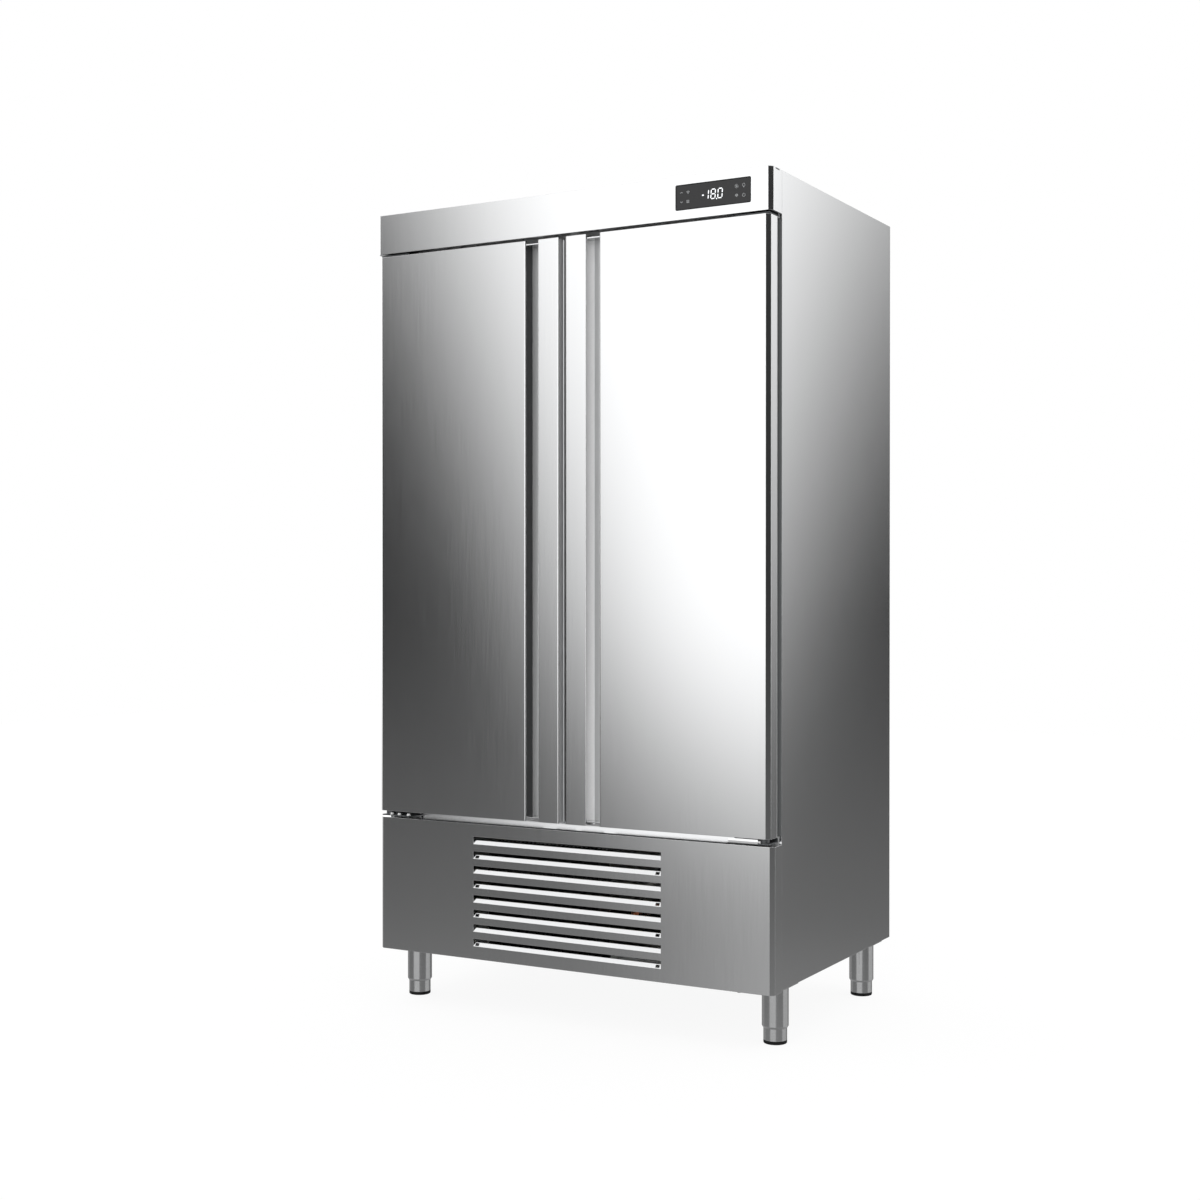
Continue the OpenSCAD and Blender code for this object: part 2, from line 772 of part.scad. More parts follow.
// Hermetic shell with domed ends, its base plate and its pipe stubs
module compressor() {
    dome = 1.5 * comp_r;
    z0 = comp_z + comp_plate_t;
    color("darkslategray") {
        difference() {
            translate([comp_x - comp_plate / 2, comp_axis_y - comp_plate / 2, comp_z])
                cube([comp_plate, comp_plate, comp_plate_t]);
            for (sx = [-1, 1], sy = [-1, 1])
                translate([comp_x + sx * (comp_plate / 2 - mount_r), comp_axis_y + sy * (comp_plate / 2 - mount_r),
                           comp_z - over])
                    cylinder(r = stud_r + fit, h = comp_plate_t + 2 * over);
        }
        intersection() {
            translate([comp_x, comp_axis_y, z0 - over]) cylinder(r = comp_r, h = comp_h + over);
            translate([comp_x, comp_axis_y, z0 + comp_h - dome]) sphere(r = dome, $fn = 96);
            translate([comp_x, comp_axis_y, z0 - 10 + dome]) sphere(r = dome, $fn = 96);
        }
        translate([comp_x, comp_axis_y, z0 + comp_h * 0.55]) cylinder(r = comp_r + 4, h = 10);
        bar_x(comp_axis_y, z0 + comp_h * 0.35, comp_x - comp_r - 20, comp_x, suction_r + 1);
    }
}

// Rubber mounts under the compressor's plate, each on its stud
module compressor_mounts() {
    color("black") for (sx = [-1, 1], sy = [-1, 1])
        translate([comp_x + sx * (comp_plate / 2 - mount_r), comp_axis_y + sy * (comp_plate / 2 - mount_r),
                   tray_floor]) {
            cylinder(r = mount_r, h = mount_h);
            cylinder(r = stud_r, h = mount_h + comp_plate_t + 8);
        }
}

// Electrical box on the side of the compressor
module terminal_box() {
    z0 = comp_z + comp_plate_t + 0.18 * comp_h;
    h = 0.3 * comp_h;
    color("dimgray") difference() {
        box([comp_x + comp_r * 0.5, comp_axis_y - 34, z0], [comp_x + comp_r + 34, comp_axis_y + 34, z0 + h]);
        translate([comp_x, comp_axis_y, z0 - over]) cylinder(r = comp_r + fit, h = h + 2 * over);
    }
}

// Finned coil: plates across X, joined by straight tubes, with end plates
module finned_coil(w, d, h, fins, rows, cols) {
    for (i = [0:fins - 1])
        translate([-w / 2 + 12 + i * (w - 24) / (fins - 1) - fin_t / 2, 0, 0]) cube([fin_t, d, h]);
    for (x = [-w / 2, w / 2 - 2]) translate([x, 0, 0]) cube([2, d, h]);
    for (i = [0:rows - 1], j = [0:cols - 1])
        bar_x((j + 0.5) * d / cols, (i + 0.5) * h / rows, -w / 2 - 8, w / 2 + 8, coil_tube_r);
}

module condenser_coil() {
    color("dimgray") translate([unit_cond_x, cond_y, cond_z])
        finned_coil(cond_w, cond_d, cond_h, cond_fins, 6, 2);
}

// Round collar with a cross of bars behind it, which holds a motor. Its axis is Y, the air side is -Y.
module fan_ring(r, depth, motor_r) {
    difference() {
        bar_y(0, 0, 0, depth, r + 3);
        bar_y(0, 0, -over, depth + over, r);
    }
    difference() {
        union() {
            for (a = [45, 135]) rotate([0, a, 0])
                translate([-r - 2, depth - bar_t, -bar_w / 2]) cube([2 * r + 4, bar_t, bar_w]);
            bar_y(0, 0, depth - bar_t, depth, motor_r + 8);
        }
        bar_y(0, 0, depth - bar_t - over, depth + over, motor_r);
    }
}

// Motor along Y whose front face is at y 0, with its shaft towards -Y
module fan_motor(r, l, shaft_l) {
    bar_y(0, 0, 0, l, r);
    bar_y(0, 0, -shaft_l, 0, shaft_r);
}

// Rotor along Y, from y 0 back to its width: hub with a bore, and pitched blades
module fan_rotor(r, hub_r, w, blades, pitch) {
    difference() {
        union() {
            bar_y(0, 0, 0, w, hub_r);
            intersection() {
                bar_y(0, 0, 0, w, r);
                for (i = [0:blades - 1]) rotate([0, i * 360 / blades, 0])
                    translate([hub_r - 4, w / 2, 0]) rotate([pitch, 0, 0])
                        translate([0, -1, -w]) cube([r, 2, 2 * w]);
            }
        }
        bar_y(0, 0, -over, w + over, shaft_r + shaft_play);
    }
}

// Plate behind the condenser with the fan's collar
module condenser_shroud() {
    r = cond_fan_r + 4;
    color("darkgray") {
        difference() {
            translate([unit_cond_x - cond_w / 2, shroud_y, cond_z]) cube([cond_w, shroud_t, cond_h]);
            bar_y(unit_cond_x, cond_fan_z, shroud_y - over, shroud_y + shroud_t + over, r);
        }
        translate([unit_cond_x, shroud_y, cond_fan_z]) fan_ring(r, cond_collar_d, cond_motor_r + fit);
    }
}

cond_motor_y = shroud_y + cond_collar_d - bar_t - 6;
evap_motor_y = evap_y0 + evap_collar_d - bar_t - 4;

// The condenser fan's motor and the two evaporator fans' motors
module fan_motors() {
    color("dimgray") {
        translate([unit_cond_x, cond_motor_y, cond_fan_z])
            fan_motor(cond_motor_r, cond_motor_l, cond_rotor_w + rotor_gap);
        for (s = [-1, 1]) translate([s * evap_fan_x, evap_motor_y, evap_fan_z])
            fan_motor(evap_motor_r, evap_motor_l, evap_rotor_w + rotor_gap);
    }
}

module condenser_fan() {
    color("lightgray") translate([unit_cond_x, cond_motor_y - rotor_gap - cond_rotor_w, cond_fan_z])
        fan_rotor(cond_fan_r, cond_hub_r, cond_rotor_w, 5, 35);
}

module evaporator_fan(side) {
    color("lightgray") translate([side * evap_fan_x, evap_motor_y - rotor_gap - evap_rotor_w, evap_fan_z])
        fan_rotor(evap_fan_r - 4, evap_hub_r, evap_rotor_w, 7, 35);
}

module evaporator_coil() {
    y1 = evap_y1 - 34;
    z1 = evap_z + evap_h;
    color("lightgray") {
        translate([0, y1 - evap_coil_d, z1 - evap_coil_h - 10])
            finned_coil(evap_coil_w, evap_coil_d, evap_coil_h, evap_fins, 3, 4);
        for (x = [-evap_coil_w / 2, evap_coil_w / 2 - 2])
            box([x, y1 - evap_coil_d, z1 - 10], [x + 2, y1, z1]);
    }
}

// Cover of the evaporator: front with two fan openings, bottom tray and ends
module evaporator_cover() {
    color("white") {
        difference() {
            box([-evap_w / 2, evap_y0, evap_z], [evap_w / 2, evap_y1, evap_z + evap_h]);
            box([-evap_w / 2 + evap_t, evap_y0 + evap_t, evap_z + evap_t],
                [evap_w / 2 - evap_t, evap_y1 + over, evap_z + evap_h + over]);
            for (s = [-1, 1])
                bar_y(s * evap_fan_x, evap_fan_z, evap_y0 - over, evap_y0 + evap_t + over, evap_fan_r);
            for (i = [-6:6])
                box([i * 60 - 20, evap_y1 - 90, evap_z - over], [i * 60 + 20, evap_y1 - 40, evap_z + evap_t + over]);
        }
        for (s = [-1, 1]) translate([s * evap_fan_x, evap_y0, evap_fan_z])
            fan_ring(evap_fan_r, evap_collar_d, evap_motor_r + fit);
        box([-drain_lip_w / 2, evap_y1 - drain_lip_back, evap_z + evap_t],
            [drain_lip_w / 2, evap_y1 - drain_lip_back + evap_t, evap_z + drain_lip_h]);
    }
}

// Drain from the evaporator cover down the back wall to the condensate tray
module drain_tube() {
    end_x = pan_x + pan_l / 4;
    color("lightgray") rod_path([[drain_x, evap_y1 - drain_start, drain_spout_z],
                                 [drain_x, drain_y, drain_spout_z],
                                 [drain_x, drain_y, drain_run_z], [end_x, drain_y, drain_run_z],
                                 [end_x, pan_y, drain_run_z], [end_x, pan_y, pan_z + drain_end_h]],
                                drain_r, pipe_bend);
}

// Open tray that takes the melt water
module condensate_tray() {
    color("gray") difference() {
        translate([pan_x - pan_l / 2, pan_y - pan_w / 2, pan_z]) cube([pan_l, pan_w, pan_h]);
        translate([pan_x - pan_l / 2 + 2, pan_y - pan_w / 2 + 2, pan_z + 2])
            cube([pan_l - 4, pan_w - 4, pan_h]);
    }
}

// Suction, liquid and discharge pipes, with the filter drier in the liquid line
module refrigerant_pipes() {
    s = suction_route();
    q = liquid_route();
    coil_y = evap_y1 - 34;
    stub_x = comp_x - comp_r - 20;
    stub_z = comp_z + comp_plate_t + comp_h * 0.35;
    cond_end = unit_cond_x + cond_w / 2 + 8;
    liquid_x = cond_end + 40;
    liquid_y = cond_y + cond_d * 0.25;
    liquid_z = cond_z + cond_h * 5 / 12;
    hot_y = cond_y + cond_d * 0.75;
    hot_z = cond_z + cond_h * 11 / 12;
    color("peru") {
        rod_path([[s[1], coil_y, s[2]], [s[1], drain_y, s[2]], [s[1], drain_y, stub_z],
                  [stub_x - 40, drain_y, stub_z], [stub_x - 40, comp_axis_y, stub_z],
                  [stub_x, comp_axis_y, stub_z]], suction_r, pipe_bend);
        rod_path([[q[1], coil_y, q[2]], [q[1], drain_y, q[2]], [q[1], drain_y, liquid_z],
                  [liquid_x, drain_y, liquid_z], [liquid_x, liquid_y, liquid_z],
                  [cond_end, liquid_y, liquid_z]], liquid_r, pipe_bend);
        bar_y(liquid_x, liquid_z, liquid_y + drier_start, liquid_y + drier_start + drier_l, 3 * liquid_r);
        rod_path([[cond_end, hot_y, hot_z], [comp_x, hot_y, hot_z], [comp_x, comp_axis_y, hot_z],
                  [comp_x, comp_axis_y, comp_z + comp_plate_t + comp_h + fit / 2]], liquid_r, pipe_bend);
    }
}

// Slotted upright against a wall: open channel whose back lies at x 0 and whose slots face +X
module shelf_post() {
    difference() {
        cube([post_t, post_w, post_centre_h]);
        translate([-over, 3, -over]) cube([post_t - 2 + over, post_w - 6, post_centre_h + 2 * over]);
        for (z = [post_pitch / 2:post_pitch:post_centre_h - post_pitch / 2])
            translate([post_t - 2 - over, post_w / 2 - post_slot_w / 2, z - post_slot_h / 2])
                cube([2 + 2 * over, post_slot_w, post_slot_h]);
    }
}

// Eight uprights: two on each side wall, and two back to back pairs in the middle
module shelf_posts() {
    color("silver") for (s = [-1, 1]) on_side(s) for (y = [post_y0, post_y1]) {
        translate([fit, y, post_z0]) shelf_post();
        translate([open_x, y, post_z0]) mirror([1, 0, 0]) shelf_post();
    }
}

// Clips that hook on the uprights and carry the shelves, four to a shelf
module shelf_clips() {
    color("lightgray") for (s = [-1, 1]) on_side(s) for (z = shelf_z, y = [post_y0, post_y1])
        for (e = [0, 1]) translate([e == 0 ? 0 : open_x + fit, 0, 0]) mirror([e, 0, 0])
            translate([post_t + fit, y + post_w / 2, z]) {
                translate([0, -clip_w / 2, -clip_t]) cube([clip_l, clip_w, clip_t]);
                translate([0, -clip_w / 2, -3 * clip_l / 2]) cube([clip_t / 2, clip_w, 3 * clip_l / 2]);
            }
}

// Wire shelf: square rod frame, two long rods and round cross wires
module shelf(side, level) {
    w = shelf_x1 - shelf_x0;
    color("whitesmoke") on_side(side) translate([shelf_x0, front_y + shelf_front, shelf_z[level]]) {
        difference() {
            cube([w, shelf_d, rod_t]);
            translate([rod_t, rod_t, -over]) cube([w - 2 * rod_t, shelf_d - 2 * rod_t, rod_t + 2 * over]);
        }
        for (k = [1 / 3, 2 / 3]) translate([rod_t / 2, k * shelf_d - rod_t / 4, 0])
            cube([w - rod_t, rod_t / 2, rod_t / 2]);
        for (i = [1:wire_count])
            bar_y(i * w / (wire_count + 1), rod_t - wire_r - 0.5, rod_t / 2, shelf_d - rod_t / 2, wire_r);
    }
}

// Socket in the back panel for the supply lead
module power_inlet() {
    color("black") difference() {
        translate([inlet_x - inlet_w / 2, back_y - inlet_d, inlet_z - inlet_h / 2])
            cube([inlet_w, inlet_d, inlet_h]);
        translate([inlet_x - inlet_w / 2 + 8, back_y - inlet_d + 8, inlet_z - inlet_h / 2 + 5])
            cube([inlet_w - 16, inlet_d, inlet_h - 10]);
    }
}

// Lower and upper bracket of one door, each with its pin
module hinge_bracket_pair() {
    x1 = half_w - bracket_in;
    y0 = front_y + pin_back - tongue_past;
    y1 = front_y + header_d;
    low_z = lower_top_z + tongue_lift;
    up_z = (door_top_z + header_z - tongue_t) / 2;
    box([x1 - tongue_w, y0, low_z], [x1, y1, low_z + tongue_t]);
    box([x1 - flange_w, y1 - tongue_t, low_z], [x1, y1, door_z - 2]);
    translate([pin_x, front_y + pin_back, low_z + tongue_t / 2]) {
        cylinder(r = pin_r, h = door_z + pin_l - low_z - tongue_t / 2);
        cylinder(r = collar_r, h = door_z - fit - low_z - tongue_t / 2);
    }
    box([x1 - tongue_w, y0, up_z], [x1, y1, up_z + tongue_t]);
    box([x1 - flange_w, y1 - tongue_t, up_z], [x1, y1, header_z + flange_h]);
    translate([pin_x, front_y + pin_back, door_top_z - pin_l])
        cylinder(r = pin_r, h = up_z + tongue_t / 2 - door_top_z + pin_l);
    translate([pin_x, front_y + pin_back, door_top_z + fit])
        cylinder(r = collar_r, h = up_z + tongue_t / 2 - door_top_z - fit);
}

module hinge_brackets() {
    color("dimgray") for (s = [-1, 1]) on_side(s) hinge_bracket_pair();
}

// Plan of the grip channel, grown by e: straight beside the door's main face, hollow behind the strip's lip
module channel_plan(e) {
    translate([scoop_x, -over]) square([main_x - scoop_x + e, channel_d + e + over]);
    intersection() {
        translate([scoop_x, scoop_y]) circle(scoop_r + e, $fn = 96);
        translate([scoop_x - scoop_r - e - over, -over])
            square([scoop_r + e + 2 * over, channel_d + e + over]);
    }
}

// Plan of the right door, moved in by e and ended at a given depth
module door_plan(e, back) {
    x1 = door_x1 - e;
    c = bevel + e * bevel_shift;
    difference() {
        polygon([[door_x0 + e, e], [x1 - c + e, e], [x1, c], [x1, back], [door_x0 - flare + e, back],
                 [door_x0 - flare + e, flare_at + flare_l], [door_x0 + e, flare_at]]);
        channel_plan(e);
        if (fold_r > e) {
            fold_waste(door_x0 + e, e, fold_r - e, 1);
            fold_waste(main_x + e, e, fold_r - e, 1);
        }
    }
}

// Outer skin of a door: front, sides and channel in one folded sheet, with end flanges
module door_skin(side) {
    back = door_t - sheet_t;
    color("silver") on_side(side) translate([0, front_y, door_z]) difference() {
        union() {
            linear_extrude(door_h) difference() {
                door_plan(0, back);
                door_plan(sheet_t, back + over);
            }
            linear_extrude(sheet_t) door_plan(0, back);
            translate([0, 0, door_h - sheet_t]) linear_extrude(sheet_t) door_plan(0, back);
        }
        translate([pin_x, pin_back, -over]) cylinder(r = bush_r + fit, h = door_h + 2 * over);
    }
}

// Foam that fills a door
module door_foam(side) {
    e = sheet_t + fit;
    color("khaki") on_side(side) translate([0, front_y, door_z]) difference() {
        translate([0, 0, e]) linear_extrude(door_h - 2 * e) door_plan(e, door_t - sheet_t - fit);
        translate([pin_x, pin_back, -over]) cylinder(r = bush_r + fit, h = bush_l + fit + over);
        translate([pin_x, pin_back, door_h - bush_l - fit]) cylinder(r = bush_r + fit, h = bush_l + fit + over);
    }
}

// Inner panel of a door: flat edge, rim for the seal, and a raised field inside the seal
module door_inner(side) {
    y0 = front_y + door_t - sheet_t;
    y1 = front_y + door_t + rim_h;
    g = seal_w + field_gap;
    color("gainsboro") on_side(side) {
        box([door_x0 - flare, y0, door_z], [door_x1, y0 + sheet_t, door_top_z]);
        box([door_x0 + rim_in, y0, door_z + rim_in], [door_x1 - rim_in, y1, door_top_z - rim_in]);
        box([seal_x0 + g, y1, seal_z0 + g], [seal_x1 - g, y1 + field_h, seal_z1 - g]);
    }
}

// Frame-shaped ring between two depths behind the front plane, w wide, inside the given rectangle
module seal_ring(x0, x1, z0, z1, w, d0, d1) {
    difference() {
        box([x0, front_y + d0, z0], [x1, front_y + d1, z1]);
        box([x0 + w, front_y + d0 - over, z0 + w], [x1 - w, front_y + d1 + over, z1 - w]);
    }
}

// Magnetic seal: a narrow foot on the inner panel and a wide face against the frame
module door_seal(side) {
    i = (seal_w - seal_foot_w) / 2;
    d0 = door_t + rim_h;
    d1 = d0 + seal_foot_t;
    color("dimgray") on_side(side) {
        seal_ring(seal_x0 + i, seal_x1 - i, seal_z0 + i, seal_z1 - i, seal_foot_w, d0, d1);
        seal_ring(seal_x0, seal_x1, seal_z0, seal_z1, seal_w, d1, header_d - fit);
    }
}

// Caps that close a channel near the door's two ends
module grip_caps(side) {
    color("silver") on_side(side) for (z = [door_z + cap_inset, door_top_z - cap_inset - cap_t])
        translate([0, front_y, z]) linear_extrude(cap_t) intersection() {
            channel_plan(-fit);
            translate([0, fold_r]) square([door_x1, door_t]);
        }
}

// Bushes in a door's lower and upper end
module hinge_bushes(side) {
    color("white") on_side(side) for (k = [0, 1])
        translate([pin_x, front_y + pin_back, k == 0 ? door_z : door_top_z - bush_l]) difference() {
            cylinder(r = bush_r, h = bush_l);
            translate([0, 0, k == 0 ? -over : bush_l - pin_l - 1])
                cylinder(r = pin_r + pin_play, h = pin_l + 1 + over);
        }
}

// Places its children at one leg's axis
module at_leg(sx, rear) {
    translate([sx * leg_x, rear ? leg_y1 : leg_y0, 0]) children();
}

// Fixed sleeves of the four legs, with their top plates
module leg_sleeves() {
    color("silver") for (sx = [-1, 1], rear = [false, true]) at_leg(sx, rear) {
        translate([-leg_plate / 2, -leg_plate / 2, plate_z]) cube([leg_plate, leg_plate, leg_plate_t]);
        difference() {
            union() {
                translate([0, 0, sleeve_z]) cylinder(r1 = sleeve_r - taper, r2 = sleeve_r, h = taper_h);
                translate([0, 0, sleeve_z + taper_h]) cylinder(r = sleeve_r, h = plate_z - sleeve_z - taper_h);
            }
            translate([0, 0, sleeve_z - over]) cylinder(r = sleeve_r - sleeve_wall, h = plate_z - sleeve_z + over);
        }
    }
}

// Telescoping foot tube, closed at the bottom
module foot(sx, rear) {
    color("silver") at_leg(sx, rear) translate([0, 0, pad_h]) difference() {
        cylinder(r = foot_r, h = sleeve_z + foot_reach - pad_h);
        translate([0, 0, 4]) cylinder(r = foot_r - foot_wall, h = sleeve_z + foot_reach - pad_h);
    }
}

// Rubber pad under a foot, with a rounded lower edge
module pad(sx, rear) {
    color("black") at_leg(sx, rear) rotate_extrude() {
        square([foot_r - pad_edge, pad_h]);
        translate([0, pad_edge]) square([foot_r, pad_h - pad_edge]);
        intersection() {
            translate([foot_r - pad_edge, pad_edge]) circle(pad_edge);
            square([foot_r, pad_h]);
        }
    }
}

side_panel(-1);  // side_panel_left
side_panel(1);  // side_panel_right
top_panel();
back_panel();
insulation_slabs();
inner_liner();
front_frame();
center_mullion();
header_fascia();
control_glass();
control_board();
lower_panel();
cabinet_screws();
base_frame();
base_tray();
compressor();
compressor_mounts();
terminal_box();
condenser_coil();
condenser_shroud();
fan_motors();
condenser_fan();
refrigerant_pipes();
evaporator_coil();
evaporator_cover();
evaporator_fan(-1);  // evaporator_fan_left
evaporator_fan(1);  // evaporator_fan_right
condensate_tray();
drain_tube();
shelf_posts();
shelf_clips();
shelf(-1, 0);  // shelf_left_1
shelf(-1, 1);  // shelf_left_2
shelf(-1, 2);  // shelf_left_3
shelf(1, 0);  // shelf_right_1
shelf(1, 1);  // shelf_right_2
shelf(1, 2);  // shelf_right_3
power_inlet();
hinge_brackets();
door_skin(-1);  // door_skin_left
door_foam(-1);  // door_foam_left
door_inner(-1);  // door_inner_left
door_seal(-1);  // door_seal_left
grip_caps(-1);  // grip_caps_left
hinge_bushes(-1);  // hinge_bushes_left
door_skin(1);  // door_skin_right
door_foam(1);  // door_foam_right
door_inner(1);  // door_inner_right
door_seal(1);  // door_seal_right
grip_caps(1);  // grip_caps_right
hinge_bushes(1);  // hinge_bushes_right
leg_sleeves();
foot(-1, false);  // foot_front_left
foot(1, false);  // foot_front_right
foot(-1, true);  // foot_rear_left
foot(1, true);  // foot_rear_right
pad(-1, false);  // pad_front_left
pad(1, false);  // pad_front_right
pad(-1, true);  // pad_rear_left
pad(1, true);  // pad_rear_right
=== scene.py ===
"""Looks of the two-door upright freezer: camera, studio, materials and surface details, in metres."""

import json
import math

import bmesh
import bpy
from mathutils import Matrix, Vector

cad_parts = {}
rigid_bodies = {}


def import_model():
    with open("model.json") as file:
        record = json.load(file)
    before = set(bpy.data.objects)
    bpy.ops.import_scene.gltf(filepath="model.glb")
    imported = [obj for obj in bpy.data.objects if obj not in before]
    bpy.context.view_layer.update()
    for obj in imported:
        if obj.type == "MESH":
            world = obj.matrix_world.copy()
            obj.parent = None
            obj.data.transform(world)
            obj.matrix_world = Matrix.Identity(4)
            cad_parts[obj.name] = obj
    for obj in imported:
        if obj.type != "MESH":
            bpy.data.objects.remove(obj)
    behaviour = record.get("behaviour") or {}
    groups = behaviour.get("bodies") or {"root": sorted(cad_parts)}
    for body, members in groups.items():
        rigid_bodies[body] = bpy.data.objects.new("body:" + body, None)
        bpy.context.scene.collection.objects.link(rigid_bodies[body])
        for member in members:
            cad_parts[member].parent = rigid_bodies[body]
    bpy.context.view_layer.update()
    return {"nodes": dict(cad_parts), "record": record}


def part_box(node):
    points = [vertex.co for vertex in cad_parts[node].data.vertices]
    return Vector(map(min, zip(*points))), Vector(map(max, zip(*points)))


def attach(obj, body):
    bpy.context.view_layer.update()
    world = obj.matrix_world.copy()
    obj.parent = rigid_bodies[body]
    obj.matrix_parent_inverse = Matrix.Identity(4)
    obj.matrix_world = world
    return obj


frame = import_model()

# Camera fitted to the photograph: place and clip in metres, tilt and turn in degrees, lens in millimetres
CAMERA_AT = (2.2506, -4.1832, 1.1116)
CAMERA_TILT = 89.65
CAMERA_TURN = 29.51
LENS_MM = 52.03
SENSOR_MM = 36.0
CLIP_NEAR = 0.05
CLIP_FAR = 60.0

# Studio: openness of the light by bearing, in degrees from the front (-Y) towards the right (+X)
OPEN_BY_TURN = (
    (-180, 0.0), (-162, 9.0), (-86, 9.0), (-78, 3.2), (-56, 3.2), (-45, -2.0), (-38, -2.0), (-23, 13.0),
    (27, 13.0), (33, 5.2), (50, 5.2), (57, -5.0), (84, -5.0), (97, 12.0), (146, 12.0), (156.7, 3.85),
    (160.3, 1.05), (172, -1.0), (180, -1.0))
OPEN_LEAST = -6.0
OPEN_MOST = 14.0

# How much more open the studio gets per degree of height: in general, and between two bearings at the side
OPEN_PER_DEGREE_UP = 0.36
SIDE_PER_DEGREE_UP = 0.27
SIDE_FROM = (140.0, 150.0)
SIDE_UNTIL = (164.0, 176.0)

# Radiance of a shut and of an open direction, and the openness where the light starts and is full
RADIANCE_SHUT = 0.038
RADIANCE_OPEN = 1.50
LIGHT_RISE = (1.1, 10.6)

# Studio by height: each pair of heights, in degrees above the horizon, is where that value fades
LOW_SHARE = 0.21
LOW_FADE = (-12.0, 0.0)
FLOOR_GLOW = 0.135
FLOOR_GLOW_FADE = (-12.0, -1.0)
NEAR_GLOW = 0.22
NEAR_GLOW_FADE = (-22.0, -11.0)
DEEP_SHARE = 0.62
DEEP_FADE = (-58.0, -30.0)
ROOF_RADIANCE = 1.15
ROOF_FADE = (18.0, 48.0)

# Floor: half its width, its colour to the object and to the camera, and the share of its shadow that shows
FLOOR_HALF = 9.0
FLOOR_COLOUR = (0.75, 0.75, 0.75, 1.0)
FLOOR_SEEN_COLOUR = (0.95, 0.95, 0.95, 1.0)
FLOOR_SHADOW = 0.09

WHITE = (1.0, 1.0, 1.0, 1.0)
DEGREES = 180.0 / math.pi

# Shared by all materials: levels of the grain between which colour and roughness run from low to high
GRAIN_LOW = 0.3
GRAIN_HIGH = 0.7
GRAIN_DETAIL = 3.0
EDGE_SAMPLES = 6
COAT_ROUGHNESS = 0.08

